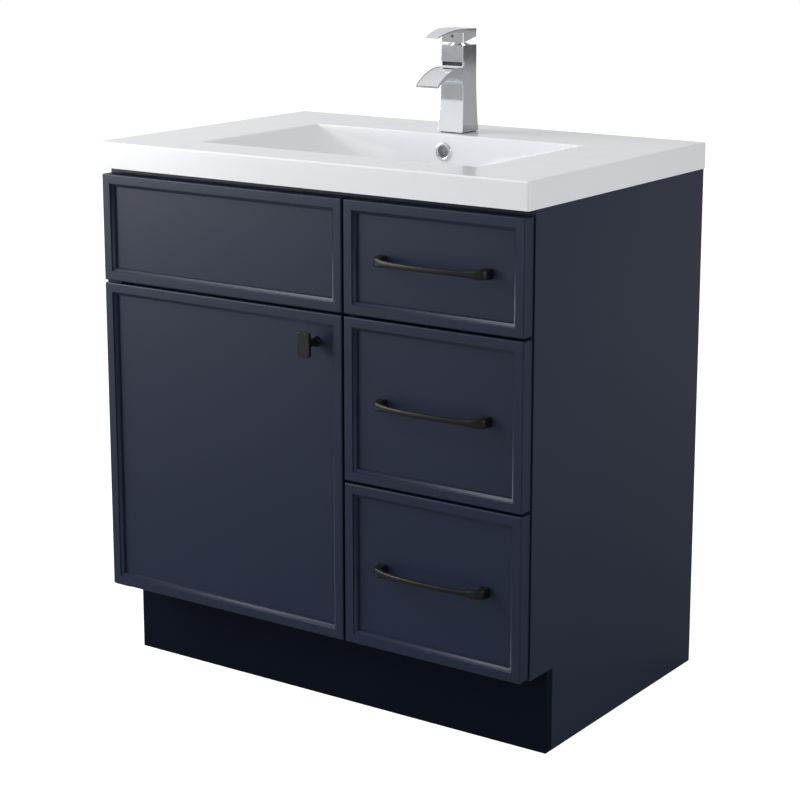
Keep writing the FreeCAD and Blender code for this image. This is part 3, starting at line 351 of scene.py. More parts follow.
finishLooks = {
    "navyLacquer": {"dark": (0.0092, 0.0150, 0.0365), "light": (0.0112, 0.0178, 0.0415),
                    "driftScale": 2.2, "roughness": (0.34, 0.40), "bumpScale": 420,
                    "bumpStrength": 0.10, "bumpDepth": 0.05, "specular": 0.24},
    # the toe-kick board: the navy lacquer darkened far below its own tone, as painted shade for the recess under
    # the cabinet
    "toeKickNavyPaintedShade": {"dark": (0.0022, 0.0042, 0.010), "light": (0.0035, 0.006, 0.014),
                      "driftScale": 3, "roughness": (0.5, 0.6), "bumpScale": 380,
                      "bumpStrength": 0.12, "bumpDepth": 0.05, "specular": 0.04},
    "whiteGlaze": {"dark": (0.745, 0.758, 0.785), "light": (0.785, 0.797, 0.82), "driftScale": 1.6,
                   "roughness": (0.21, 0.27), "bumpScale": 14, "bumpStrength": 0.03, "bumpDepth": 0.3,
                   "coat": 0.3, "coatRoughness": 0.08},
    "chromePlate": {"dark": (0.66, 0.68, 0.72), "light": (0.76, 0.78, 0.815), "driftScale": 8,
                    "metallic": 1.0, "roughness": (0.05, 0.09), "bumpScale": 60, "bumpStrength": 0.02,
                    "bumpDepth": 0.05},
    "darkBronze": {"dark": (0.005, 0.005, 0.0045), "light": (0.010, 0.0095, 0.008), "driftScale": 26,
                   "metallic": 0.2, "specular": 0.3, "roughness": (0.28, 0.38), "bumpScale": 900,
                   "bumpStrength": 0.15, "bumpDepth": 0.03},
    "zincSteel": {"dark": (0.48, 0.49, 0.51), "light": (0.62, 0.63, 0.65), "driftScale": 30,
                  "metallic": 1.0, "roughness": (0.28, 0.42), "bumpScale": 200, "bumpStrength": 0.15,
                  "bumpDepth": 0.03, "stretch": (1, 0.08, 1)},
    "blackZinc": {"dark": (0.012, 0.012, 0.013), "light": (0.024, 0.024, 0.026), "driftScale": 40,
                  "metallic": 0.4, "specular": 0.3, "roughness": (0.4, 0.5), "bumpScale": 500,
                  "bumpStrength": 0.15, "bumpDepth": 0.03},
    "valveBrass": {"dark": (0.52, 0.38, 0.15), "light": (0.66, 0.50, 0.22), "driftScale": 40,
                   "metallic": 1.0, "roughness": (0.25, 0.38), "bumpScale": 300, "bumpStrength": 0.2,
                   "bumpDepth": 0.04, "stretch": (1, 1, 4)},
    "bumperRubber": {"dark": (0.022, 0.022, 0.022), "light": (0.04, 0.04, 0.04), "driftScale": 50,
                     "roughness": (0.65, 0.8), "bumpScale": 700, "bumpStrength": 0.3,
                     "bumpDepth": 0.05},
    "clipPlastic": {"dark": (0.62, 0.62, 0.60), "light": (0.70, 0.70, 0.68), "driftScale": 30,
                    "roughness": (0.4, 0.5), "bumpScale": 500, "bumpStrength": 0.2, "bumpDepth": 0.04},
    "capPlastic": {"dark": (0.008, 0.008, 0.012), "light": (0.02, 0.02, 0.03), "driftScale": 200,
                   "roughness": (0.15, 0.25), "bumpScale": 900, "bumpStrength": 0.1, "bumpDepth": 0.02},
}
woodLooks = {
    "carcassBoard": {"dark": (0.50, 0.37, 0.23), "light": (0.66, 0.52, 0.35),
                     "ring": (0.62, 0.48, 0.34), "grainScale": 9, "poreScale": 240,
                     "bandScale": 3.2, "stretch": (1.6, 1.0, 0.16), "roughness": (0.38, 0.52),
                     "coat": 0.15},
    "backSheet": {"dark": (0.45, 0.33, 0.21), "light": (0.60, 0.46, 0.31), "ring": (0.6, 0.46, 0.32),
                  "grainScale": 11, "poreScale": 260, "bandScale": 4.5, "stretch": (1.4, 1.0, 0.14),
                  "roughness": (0.5, 0.65)},
    "drawerWood": {"dark": (0.55, 0.40, 0.24), "light": (0.72, 0.57, 0.38), "ring": (0.6, 0.45, 0.3),
                   "grainScale": 12, "poreScale": 300, "bandScale": 6.0, "stretch": (1.0, 0.12, 1.8),
                   "bandsAlong": "Z", "roughness": (0.32, 0.45), "coat": 0.2},
    "drawerSheet": {"dark": (0.52, 0.39, 0.24), "light": (0.66, 0.51, 0.34), "ring": (0.62, 0.48, 0.34),
                    "grainScale": 10, "poreScale": 260, "bandScale": 4.0, "stretch": (1.6, 0.14, 1.0),
                    "roughness": (0.4, 0.55)},
}
finishes = {name: makeFinish(name, look) for name, look in finishLooks.items()}
finishes.update({name: makeWood(name, look) for name, look in woodLooks.items()})
slotFinishes = {
    "navy_lacquer": "navyLacquer", "toe_kick_finish": "toeKickNavyPaintedShade", "carcass_board": "carcassBoard",
    "back_sheet": "backSheet", "drawer_wood": "drawerWood", "drawer_sheet": "drawerSheet",
    "zinc_steel": "zincSteel", "dark_bronze": "darkBronze", "white_glaze": "whiteGlaze",
    "chrome": "chromePlate", "valve_brass": "valveBrass", "bumper_rubber": "bumperRubber",
    "clip_plastic": "clipPlastic", "cap_plastic": "capPlastic",
}
for part in frame["record"]["subparts"]:
    node = frame["nodes"][part["node"]]
    node.data.materials.clear()
    node.data.materials.append(finishes[slotFinishes[part["material_slot"]]])
# a dark cabinet's hinge leaves are black-plated
for nodeName in ("hinge_leaves_carcass", "hinge_leaves_door"):
    frame["nodes"][nodeName].data.materials[0] = finishes["blackZinc"]
print("finishes made:", len(finishes))


# The boards that show get softened edges.

boardLook = {"edge": 0.7, "edgeSegments": 3}


def roundAllEdges(bm, radius, segments):
    bmesh.ops.bevel(bm, geom=bm.edges[:], offset=radius, offset_type="OFFSET", affect="EDGES",
                    segments=segments, profile=0.5, material=-1)
    return bm


def addRoundedBoard(node, bm, finish):
    roundAllEdges(bm, boardLook["edge"] * mm, boardLook["edgeSegments"])
    addPiece(node.replace("_", "-") + "-board", bm, finishes[finish], "root", [node])


def addSidePanel(node):
    # the outline has the toe recess cut from its lower front corner
    low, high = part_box(node)
    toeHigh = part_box("toe_kick_board")[1]
    outline = [(toeHigh.y, low.z), (high.y, low.z), (high.y, high.z), (low.y, high.z),
               (low.y, toeHigh.z), (toeHigh.y, toeHigh.z)]
    addRoundedBoard(node, slabShape(outline, low.x, high.x), "navyLacquer")


def addBoard(node, finish):
    addRoundedBoard(node, boxShape(*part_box(node)), finish)


addSidePanel("side_panel_right")
# the toe-kick board's darkened navy is painted shade for the recess under the cabinet
addBoard("toe_kick_board", "toeKickNavyPaintedShade")
addBoard("top_front_rail", "navyLacquer")


# Fronts: a slim frame, a small step, a sloped moulding and a flat panel that lies lower.

frontLook = {
    "rounding": 2.2,
    "roundingSteps": 4,
    "border": 11.8,
    # (inwards, downwards) steps of the moulding, from the frame to the panel
    "moulding": [(0.4, 0.15), (0.35, 0.45), (0.15, 1.5), (0.5, 0.2), (1.5, 0.85), (1.5, 0.95),
                 (0.6, 0.7), (0.45, 1.3), (0.25, 1.3), (0.1, 0.6)],
    "sharpAngle": 50,
    "leafThickness": 1.8,
    "mortiseFit": 0.15,
    "boreFit": 0.5,
    "pinRadius": 2.0,
    "pinDepth": 14.5,
    "boreSegments": 24,
}


def frontShape(node):
    low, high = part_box(node)
    bm = boxShape(low, high)
    near = 0.1 * mm
    backPlane = high.y - near
    # all but the four edges of the back are rounded
    rim = [edge for edge in bm.edges if any(vert.co.y < backPlane for vert in edge.verts)]
    bmesh.ops.bevel(bm, geom=rim, offset=frontLook["rounding"] * mm, offset_type="OFFSET",
                    affect="EDGES", segments=frontLook["roundingSteps"], profile=0.5, material=-1)
    facing = [face for face in bm.faces if face.normal.y < -0.99]
    panel = max(facing, key=lambda face: face.calc_area())
    bmesh.ops.inset_region(bm, faces=[panel], thickness=frontLook["border"] * mm, use_even_offset=True)
    for inwards, downwards in frontLook["moulding"]:
        bmesh.ops.inset_region(bm, faces=[panel], thickness=inwards * mm, depth=-downwards * mm,
                               use_even_offset=True)
    return bm


def addFront(node, body):
    addPiece(node.replace("_", "-") + "-framed", frontShape(node), finishes["navyLacquer"], body,
             [node], frontLook["sharpAngle"])


def addDoor():
    # the hinge leaves lie in mortises in the top and bottom edges, and the pins have bores
    low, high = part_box("door_panel")
    leafLow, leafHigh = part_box("hinge_leaves_door")
    fit = frontLook["mortiseFit"] * mm
    leafThickness = frontLook["leafThickness"] * mm
    pinDepth = frontLook["pinDepth"] * mm
    boreRadius = (frontLook["pinRadius"] + frontLook["boreFit"]) * mm
    hinge = joints["door_hinge"]["pos_m"]
    tools = []
    for level, inwards in ((high.z, -1), (low.z, 1)):
        near, far = level - inwards * mm, level + inwards * (leafThickness + fit)
        tools.append(boxShape((leafLow.x - fit, leafLow.y - fit, min(near, far)),
                              (leafHigh.x + fit, leafHigh.y + fit, max(near, far))))
        tools.append(rodShape((hinge[0], hinge[1], near),
                              (hinge[0], hinge[1], level + inwards * pinDepth),
                              boreRadius, frontLook["boreSegments"]))
    bm = carveShape(frontShape("door_panel"), tools)
    addPiece("door-panel-framed", bm, finishes["navyLacquer"], "door", ["door_panel"],
             frontLook["sharpAngle"])


addFront("false_front", "root")
addDoor()
for drawer in drawerNames:
    addFront(drawer + "_front", drawer)
print("boards and fronts made")


# Pulls: square feet that flare into a bar, which bows outwards and is slimmest in the middle.

pullLook = {
    "footSide": 15.0, "footReach": 9.0, "footSteps": 3, "footTaper": 0.10, "turnRadius": 11.0,
    "turnSteps": 8, "turnEnd": 78, "turnSoftening": 2.5, "barSteps": 30, "barThickness": 6.4,
    "barHeight": 7.6, "endHeight": 12.5, "endThickening": 0.15, "flareLength": 30.0,
    "footSquareness": 7.0, "barSquareness": 3.2, "ringPoints": 28, "sharpAngle": 45,
}


def addPull(drawer):
    low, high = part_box(drawer + "_pull")
    look = pullLook
    middle = (low + high) / 2
    halfFoot = look["footSide"] / 2 * mm
    halfFootEnd = halfFoot * (1 - look["footTaper"])
    reach = (high.x - low.x) / 2 - halfFoot
    turn = look["turnRadius"] * mm
    up = Vector((0, 0, 1))
    halfBar = look["barThickness"] / 2 * mm
    endThickness = 1 + look["endThickening"]
    outermost = low.y + halfBar
    stations = []
    # the left foot, straight out of the panel
    for step in range(look["footSteps"] + 1):
        share = step / look["footSteps"]
        side = halfFoot * (1 - look["footTaper"] * share ** 2)
        deep = look["footReach"] * mm * share
        stations.append((Vector((-reach, high.y - deep, middle.z)), Vector((1, 0, 0)), up,
                         side, side, look["footSquareness"]))
    turnStart = high.y - look["footReach"] * mm
    # round the corner, getting thinner
    for step in range(1, look["turnSteps"] + 1):
        share = step / look["turnSteps"]
        angle = math.radians(look["turnEnd"]) * share
        centre = Vector((-reach + turn * (1 - math.cos(angle)), turnStart - turn * math.sin(angle),
                         middle.z))
        across = Vector((math.cos(angle), math.sin(angle), 0))
        ease = share * share * (3 - 2 * share)
        thick = halfFootEnd * (1 - ease) + halfBar * endThickness * ease
        tall = halfFootEnd * (1 - ease) + look["endHeight"] / 2 * mm * ease
        stations.append((centre, across, up, thick, tall,
                         look["footSquareness"] - look["turnSoftening"] * share))
    barStart = stations[-1][0]
    barHalf = -barStart.x
    bow = barStart.y - outermost
    # along the bar to its middle, bowed outwards as a parabola
    for step in range(1, look["barSteps"] // 2 + 1):
        share = step / (look["barSteps"] // 2)
        x = -barHalf * (1 - share)
        y = outermost + bow * (x / barHalf) ** 2
        slope = 2 * bow * x / barHalf ** 2
        across = Vector((-slope, 1, 0)).normalized()
        fromEnd = (barHalf - abs(x)) / (look["flareLength"] * mm)
        ease = max(0.0, 1 - fromEnd) ** 2
        tall = (look["barHeight"] + (look["endHeight"] - look["barHeight"]) * ease) / 2 * mm
        thick = halfBar * (1 + look["endThickening"] * ease)
        stations.append((Vector((x, y, middle.z)), across, up, thick, tall, look["barSquareness"]))
    # the right half is the left half the other way round
    for centre, across, upward, thick, tall, squareness in reversed(stations[:-1]):
        stations.append((Vector((-centre.x, centre.y, centre.z)), Vector((-across.x, across.y, 0)),
                         upward, thick, tall, squareness))
    stations = [(centre + Vector((middle.x, 0, 0)), *rest) for centre, *rest in stations]
    addPiece(drawer.replace("_", "-") + "-bowed-pull", sweepShape(stations, look["ringPoints"]),
             finishes["darkBronze"], drawer, [drawer + "_pull"], look["sharpAngle"])


for drawer in drawerNames:
    addPull(drawer)


# The knob: a round foot and stem that flare into a rectangular head.

knobLook = {
    # (share of the way out, half width, half height, squareness), from the panel to the face
    "sections": [(0.00, 8.0, 8.0, 2), (0.06, 8.0, 8.0, 2), (0.08, 7.4, 7.4, 2), (0.13, 6.0, 6.0, 2),
                 (0.45, 5.8, 5.8, 2), (0.62, 6.3, 6.8, 2.3), (0.72, 7.8, 9.5, 2.8),
                 (0.79, 9.8, 14.5, 4), (0.825, 10.9, 17.6, 7), (0.85, 11.2, 18.2, 9),
                 (0.96, 11.25, 18.25, 10), (0.985, 11.0, 18.0, 10), (1.00, 10.3, 17.3, 10)],
    "ringPoints": 48,
    "sharpAngle": 50,
}


def addKnob():
    low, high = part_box("door_knob")
    middle = (low + high) / 2
    reach = high.y - low.y
    across, up = Vector((1, 0, 0)), Vector((0, 0, 1))
    stations = [(Vector((middle.x, high.y - reach * out, middle.z)), across, up,
                 halfWidth * mm, halfHeight * mm, squareness)
                for out, halfWidth, halfHeight, squareness in knobLook["sections"]]
    addPiece("door-knob-rectangular", sweepShape(stations, knobLook["ringPoints"]),
             finishes["darkBronze"], "door", ["door_knob"], knobLook["sharpAngle"])


addKnob()
print("pulls and knob made")


# The basin top: a slab with a trough. Its ends slope down to the drain, and where they meet the long
# walls the corner opens into a curve that grows with the depth.

topLook = {
    "openingHalf": 250.0, "openingFront": 83.5, "openingWidth": 290.0, "depth": 96.0, "floorHalf": 34.0,
    "lip": 2.6, "draft": 0.02, "filletShare": 0.62, "filletLargest": 42.0, "endEase": 4.0,
    "floorEase": 14.0, "slabThickness": 40.0, "wall": 12.0, "backWall": 22.0, "rim": 3.0,
    "rimSteps": 5, "steepWall": 0.01, "drainHole": 22.5, "overflowHole": 11.0, "overflowDrop": 28.0,
    "overflowDepth": 12.0, "overflowMouth": 4.0, "duct": 6.0, "seatHalf": 30.0, "seatDepth": 22.0,
    "seatBite": 2.0, "ductHalf": 14.0, "faucetHole": 13.0, "sharpAngle": 40,
}


def easedRamp(distance, ease):
    # nothing before the start, a straight line after it, and a parabola between
    if distance <= -ease:
        return 0.0
    if distance >= ease:
        return distance
    return (distance + ease) ** 2 / (4 * ease)


def spreadLines(stops):
    # (start, step) pairs and a last value, as grid lines
    lines = []
    for (start, step), following in zip(stops, stops[1:]):
        end = following[0]
        count = max(1, round((end - start) / step))
        lines += [start + (end - start) * index / count for index in range(count)]
    return lines + [stops[-1][0]]


def gridShape(xLines, yLines, heightAt):
    # a flat grid whose lines are moved to the given places and raised to the given height
    bm = bmesh.new()
    across, along = len(xLines) - 1, len(yLines) - 1
    bmesh.ops.create_grid(bm, x_segments=across, y_segments=along, size=0.5)
    for vert in bm.verts:
        x = xLines[round((vert.co.x + 0.5) * across)]
        y = yLines[round((vert.co.y + 0.5) * along)]
        vert.co = (x * mm, y * mm, heightAt(x, y) * mm)
    return bm


def addVanityTop():
    look = topLook
    low, high = (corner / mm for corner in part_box("vanity_top"))
    deck = high.z
    slabUnder = deck - look["slabThickness"]
    front = low.y + look["openingFront"]
    back = front + look["openingWidth"]
    middleY = (front + back) / 2
    half, depth, draft, lip = look["openingHalf"], look["depth"], look["draft"], look["lip"]
    slope = depth / (half - look["floorHalf"])

    def rampDepth(x):
        fromEnd, fromFloor = half - abs(x), abs(x) - look["floorHalf"]
        if fromEnd < half / 2:
            return slope * easedRamp(fromEnd, look["endEase"])
        return depth - slope * easedRamp(fromFloor, look["floorEase"])

    def basinDepth(x, y):
        ramp = rampDepth(x)
        inside = min(y - front, back - y)
        if inside <= -lip:
            return 0.0
        if inside < 0:
            return min(ramp, lip - math.sqrt(max(0.0, lip ** 2 - (inside + lip) ** 2)))
        radius = min(ramp * look["filletShare"], look["filletLargest"])
        wallEnd = draft * max(0.0, ramp - radius - lip)
        if inside < wallEnd:
            return min(ramp, lip + inside / draft)
        intoCurve = inside - wallEnd
        if intoCurve < radius:
            return ramp - radius + math.sqrt(radius ** 2 - (radius - intoCurve) ** 2)
        return ramp

    def topHeight(x, y):
        return deck - basinDepth(x, y)

    def underHeight(x, y):
        inside = min(y - (front - look["wall"]), back + look["backWall"] - y)
        if inside <= 0:
            return slabUnder
        wallDepth = min(rampDepth(x) + look["wall"] * math.sqrt(1 + slope ** 2), depth + look["wall"])
        return min(slabUnder, deck - min(wallDepth, look["slabThickness"] + inside / look["steepWall"]))

    # (start, step) pairs: the steps are small where the surface bends
    xHalf = spreadLines([(0, 8), (16, 3), (50, 6), (half - 18, 3), (half - 6, 1), (half + 6, 9),
                         (half + 24, 30), (high.x, 1)])
    xLines = [-x for x in reversed(xHalf[1:])] + xHalf
    yLines = spreadLines([(low.y, 20), (front - look["wall"] - 0.5, 0.5), (front - look["wall"] + 1, 4),
                          (front - lip, 0.4), (front + 3, 1.5), (front + 24, 3), (front + 48, 8),
                          (back - 48, 3), (back - 24, 1.5), (back - 3, 0.4), (back + lip, 6),
                          (back + look["backWall"] - 1, 0.5), (back + look["backWall"] + 0.5, 20),
                          (high.y, 1)])
    top = gridShape(xLines, yLines, topHeight)
    boundary = [edge for edge in top.edges if edge.is_boundary]
    grown = bmesh.ops.extrude_edge_only(top, edges=boundary)
    for item in grown["geom"]:
        if isinstance(item, bmesh.types.BMVert):
            item.co.z = slabUnder * mm
    bm = joinShapes([top, gridShape(xLines, yLines, underHeight)])
    bmesh.ops.remove_doubles(bm, verts=bm.verts, dist=meshLook["mergeWithin"])
    bmesh.ops.recalc_face_normals(bm, faces=bm.faces)

    near = 0.01

    def onRim(edge):
        first, second = edge.verts[0].co / mm, edge.verts[1].co / mm
        onSides = abs(abs(first.x) - high.x) < near and abs(abs(second.x) - high.x) < near
        onFront = abs(first.y - low.y) < near and abs(second.y - low.y) < near
        onBack = abs(first.y - high.y) < near and abs(second.y - high.y) < near
        level = abs(first.z - deck) < near and abs(second.z - deck) < near
        upright = onSides and (onFront or onBack)
        return upright or (level and (onSides or onFront or onBack))

    bmesh.ops.bevel(bm, geom=[edge for edge in bm.edges if onRim(edge)], offset=look["rim"] * mm,
                    offset_type="OFFSET", affect="EDGES", segments=look["rimSteps"], profile=0.5,
                    material=-1)
    # the drain's seat and the overflow's duct, under the trough
    tubUnder = deck - depth - look["wall"]
    seatHalf, ductHalf = look["seatHalf"], look["ductHalf"]
    seatUnder, seatTop = tubUnder - look["seatDepth"], tubUnder + look["seatBite"]
    seat = boxShape(Vector((-seatHalf, middleY - seatHalf, seatUnder)) * mm,
                    Vector((seatHalf, middleY + seatHalf, seatTop)) * mm)
    duct = boxShape(Vector((-ductHalf, middleY, seatUnder)) * mm,
                    Vector((ductHalf, back + look["backWall"], seatTop)) * mm)
    bm = carveShape(bm, [seat, duct], "UNION")
    overflow = deck - look["overflowDrop"]
    mouthY = back - look["overflowMouth"]
    ductY = back + look["overflowDepth"]
    ductZ = tubUnder - look["seatDepth"] / 2
    faucetLow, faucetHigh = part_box("faucet_shank")
    faucetY = (faucetLow.y + faucetHigh.y) / 2 / mm

    def bore(start, end, radius):
        return rodShape(Vector(start) * mm, Vector(end) * mm, radius * mm)

    past = 1  # a bore that goes through starts and ends this far outside
    holes = [
        bore((0, middleY, deck - depth + past), (0, middleY, seatUnder - past), look["drainHole"]),
        bore((0, mouthY, overflow), (0, ductY, overflow), look["overflowHole"]),
        bore((0, ductY, overflow), (0, ductY, ductZ), look["duct"]),
        bore((0, ductY, ductZ), (0, middleY, ductZ), look["duct"]),
        bore((0, faucetY, deck + past), (0, faucetY, slabUnder - past), look["faucetHole"]),
    ]
    addPiece("basin-top-moulded", carveShape(bm, holes), finishes["whiteGlaze"], "root",
             ["vanity_top"], look["sharpAngle"])


addVanityTop()
print("basin top made")


# Drain and overflow trim, turned on a lathe. Profile points are (radius, height), with the height from
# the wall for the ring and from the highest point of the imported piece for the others.

trimAngle = 50
ringLook = {
    "proud": 2.0,
    "profile": [(9.2, 10.0), (9.2, -1.2), (9.8, -2.4), (11.2, -3.1), (12.8, -3.0), (14.3, -2.2),
                (15.0, -0.8), (15.0, 0.6), (10.6, 0.6), (10.6, 10.0)],
    "steps": 64,
}
flangeLook = {
    "throat": 19.0, "throatWall": 2.5, "radius": 31.0, "thickness": 2.5,
    # (out from the throat, height) of the dish, and (out from the rim, height) of its round edge
    "dish": [(0.0, -3.2), (0.6, -2.2), (2.2, -1.5), (6.5, -0.4)],
    "roundEdge": [(-3.0, 0.0), (-1.2, -0.25), (-0.3, -0.9), (0.0, -1.8)],
    "barRise": 8.0, "barThickness": 5.0, "barWidth": 5.0, "steps": 96,
}
stopperLook = {
    "radius": 18.0, "stem": 4.0,
    # (radius, height) of the dome, and (out from the rim, height) of the edge with its seal's groove
    "dome": [(0, 1.0), (6, 0.92), (11, 0.62), (15, 0.2)],
    "grooved": [(-0.8, -0.3), (0.0, -1.1), (0.0, -2.4), (-0.8, -2.8), (-0.8, -3.8), (-0.2, -4.2),
                (-0.8, -5.0)],
    # (out from the stem, height) of its shoulder
    "shoulder": [(1.0, -5.2), (0.0, -6.2)],
    "stemBevel": 0.6, "steps": 96,
}


def scaled(profile):
    return [(radius * mm, height * mm) for radius, height in profile]


def outwards(radius, points):
    return [(radius + out, height) for out, height in points]


def addOverflowRing():
    low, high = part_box("overflow_ring")
    look = ringLook
    centre = ((low.x + high.x) / 2, low.y + look["proud"] * mm, (low.z + high.z) / 2)
    ring = latheShape(scaled(look["profile"]), centre, (0, 1, 0), look["steps"])
    addPiece("overflow-trim-ring", ring, finishes["chromePlate"], "root", ["overflow_ring"],
             trimAngle)


def addDrainFlange():
    low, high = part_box("drain_flange")
    look = flangeLook
    centre = Vector(((low.x + high.x) / 2, (low.y + high.y) / 2, high.z))
    bottom = (low.z - high.z) / mm
    inner, outer, rim = look["throat"], look["throat"] + look["throatWall"], look["radius"]
    under = -look["thickness"]
    profile = ([(inner, bottom)] + outwards(inner, look["dish"]) + outwards(rim, look["roundEdge"])
               + [(rim, under), (outer, under), (outer, bottom)])
    # the crossbar round the stopper's stem
    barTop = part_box("drain_stopper")[0].z + look["barRise"] * mm
    barHalf = look["barWidth"] / 2 * mm
    bar = boxShape((centre.x - inner * mm, centre.y - barHalf, barTop - look["barThickness"] * mm),
                   (centre.x + inner * mm, centre.y + barHalf, barTop))
    flange = latheShape(scaled(profile), centre, (0, 0, 1), look["steps"])
    addPiece("drain-flange-dished", joinShapes([flange, bar]), finishes["chromePlate"], "root",
             ["drain_flange"], trimAngle)


def addStopper():
    low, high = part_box("drain_stopper")
    look = stopperLook
    centre = Vector(((low.x + high.x) / 2, (low.y + high.y) / 2, high.z))
    bottom = (low.z - high.z) / mm
    stem, bevel = look["stem"], look["stemBevel"]
    profile = (look["dome"] + outwards(look["radius"], look["grooved"])
               + outwards(stem, look["shoulder"])
               + [(stem, bottom + bevel), (stem - bevel, bottom), (0, bottom)])
    stopper = latheShape(scaled(profile), centre, (0, 0, 1), look["steps"])
    addPiece("drain-stopper-domed", stopper, finishes["chromePlate"], "stopper",
             ["drain_stopper"], trimAngle)


addOverflowRing()
addDrainFlange()
addStopper()
print("drain trim made")


# The faucet: a column that widens slowly towards its foot, a slot under its head, and a broad spout
# with raised sides that falls away like a slide.

faucetLook = {
    "width": 41.0, "depth": 39.0, "edge": 0.9, "sharpAngle": 30, "footFlare": 5.0,
    "footFlareHeight": 62.0, "backFlare": 3.0, "backFlareHeight": 95.0, "sideFlare": 2.6,
    "flareSteps": 9, "headHeight": 26.0, "slotHeight": 6.0, "slotDepth": 4.0, "boreRadius": 15.0,
    "boreDepth": 30.0, "spoutRoot": 103.0, "spoutTip": 80.0, "tipSlant": 0.8, "tipThickness": 4.2,
    "rootThickness": 19.5, "topBulge": 7.5, "underBulge": 9.0, "spoutSteps": 12, "neckCurve": 7.0,
    "neckAngles": (30, 55, 75, 90), "channelHalf": 18.9, "channelDepth": 0.9, "channelSlope": 0.6,
    # cheeks close the slot's ends, and a dark insert lies at its back
    "cheek": 2.2, "cheekBite": 2.0, "cheekInset": 1.0, "insertProud": 0.6, "insertBite": 1.0,
    "insertMargin": 0.5, "insertRound": 0.2, "insertSegments": 2,
    # (radius, height) round the cartridge's collar
    "topRing": [(15.05, -1.0), (15.05, 0.7), (15.4, 1.1), (17.6, 1.1), (18.0, 0.7), (18.0, -1.0)],
    "ringSteps": 64,
}


def bulgedLine(start, end, bulge, steps):
    # points from start to end along a parabola that rises above the straight line
    points = []
    for step in range(steps + 1):
        share = step / steps
        y = start[0] + (end[0] - start[0]) * share
        z = start[1] + (end[1] - start[1]) * share + bulge * 4 * share * (1 - share)
        points.append((y, z))
    return points


def addFaucetBody():
    look = faucetLook
    low, high = (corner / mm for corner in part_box("faucet_body"))
    foot, top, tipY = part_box("faucet_gasket")[1].z / mm, high.z, low.y
    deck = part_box("vanity_top")[1].z / mm
    collarLow, collarHigh = (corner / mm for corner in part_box("faucet_cartridge"))
    middleY = (collarLow.y + collarHigh.y) / 2
    centre = (0, middleY * mm, top * mm)
    frontY, backY = middleY - look["depth"] / 2, middleY + look["depth"] / 2
    half = look["width"] / 2

    def flare(height, amount, reach):
        return amount * max(0.0, 1 - height / reach) ** 2

    levels = [look["backFlareHeight"] * (step / look["flareSteps"])
              for step in range(look["flareSteps"] + 1)]
    backEdge = [(backY + flare(level, look["backFlare"], look["backFlareHeight"]), foot + level)
                for level in levels]
    headBottom = top - look["headHeight"]
    slotBottom = headBottom - look["slotHeight"]
    root, tip = deck + look["spoutRoot"], deck + look["spoutTip"]
    topCurve = bulgedLine((frontY, root), (tipY, tip), look["topBulge"], look["spoutSteps"])
    neck = look["neckCurve"]
    neckTop = root - look["rootThickness"]
    underCurve = bulgedLine((tipY + look["tipSlant"], tip - look["tipThickness"]),
                            (frontY - neck, neckTop), look["underBulge"], look["spoutSteps"])
    neckPoints = [(frontY - neck * (1 - math.sin(math.radians(angle))),
                   neckTop - neck * (1 - math.cos(math.radians(angle))))
                  for angle in look["neckAngles"]]
    frontEdge = [(frontY - flare(level, look["footFlare"], look["footFlareHeight"]), foot + level)
                 for level in reversed(levels) if level < look["footFlareHeight"]]
    outletY = frontY + look["slotDepth"]
    outline = (backEdge + [(backY, top), (frontY, top), (frontY, headBottom), (outletY, headBottom),
                           (outletY, slotBottom), (frontY, slotBottom)]
               + topCurve + underCurve + neckPoints + frontEdge)
    bm = slabShape([(y * mm, z * mm) for y, z in outline], -half * mm, half * mm)
    # the channel along the spout's top is cut by a slab that reaches past the tip and above the root
    past, beyond, above = 1.0, 5.0, 12.0
    channelStart = frontY - past
    channel = [(y, z - look["channelDepth"])
               for y, z in bulgedLine((channelStart, root), (tipY, tip), look["topBulge"],
                                      look["spoutSteps"])]
    lastY, lastZ = channel[-1]
    channel += [(lastY - beyond, lastZ - beyond * look["channelSlope"]), (lastY - beyond, root + above),
                (channelStart, root + above)]
    channelHalf = look["channelHalf"] * mm
    tools = [slabShape([(y * mm, z * mm) for y, z in channel], -channelHalf, channelHalf),
             rodShape((0, middleY * mm, (top - look["boreDepth"]) * mm),
                      (0, middleY * mm, (top + past) * mm), look["boreRadius"] * mm)]
    cheek, bite = look["cheek"], look["cheekBite"]
    cheeks = []
    for side in (-1, 1):
        sideLow, sideHigh = sorted((side * half, side * (half - cheek)))
        cheeks.append(boxShape(Vector((sideLow, frontY + look["cheekInset"], slotBottom - bite)) * mm,
                               Vector((sideHigh, outletY + bite, headBottom + bite)) * mm))
    bm = carveShape(carveShape(bm, cheeks, "UNION"), tools)
    for vert in bm.verts:
        level = vert.co.z / mm - foot
        vert.co.x *= 1 + flare(level, look["sideFlare"], look["backFlareHeight"]) / half
    # the outlet's dark insert at the back of the slot, and the ring that the collar stands over
    margin = look["insertMargin"]
    outlet = boxShape(Vector((-half + cheek, outletY - look["insertProud"], slotBottom - margin)) * mm,
                      Vector((half - cheek, outletY + look["insertBite"], headBottom + margin)) * mm)
    roundAllEdges(outlet, look["insertRound"] * mm, look["insertSegments"])
    addPiece("faucet-outlet-insert", outlet, finishes["bumperRubber"], "root")
    ring = latheShape(scaled(look["topRing"]), centre, (0, 0, 1), look["ringSteps"])
    addPiece("faucet-top-ring", ring, finishes["chromePlate"], "root")
    addPiece("faucet-body-column", bm, finishes["chromePlate"], "root", ["faucet_body"],
             look["sharpAngle"], look["edge"] * mm)


# The handle: a hollow block with a bevelled underside, and a lever that thins towards its tip.

handleLook = {
    "rearRise": 8.0, "blockTop": 1.0, "leverStart": 12.0, "leverTop": 3.6, "leverUnder": 4.0,
    "tipDrop": 10.0, "tipThickness": 2.4, "tipSlant": 0.6, "frontFace": 15.5, "steps": 12, "wall": 3.0,
    "taperStart": 2.0, "taperPower": 1.15, "tipHalf": 11.75, "edge": 0.9, "sharpAngle": 30,
    "width": 41.0, "depth": 39.0,
}


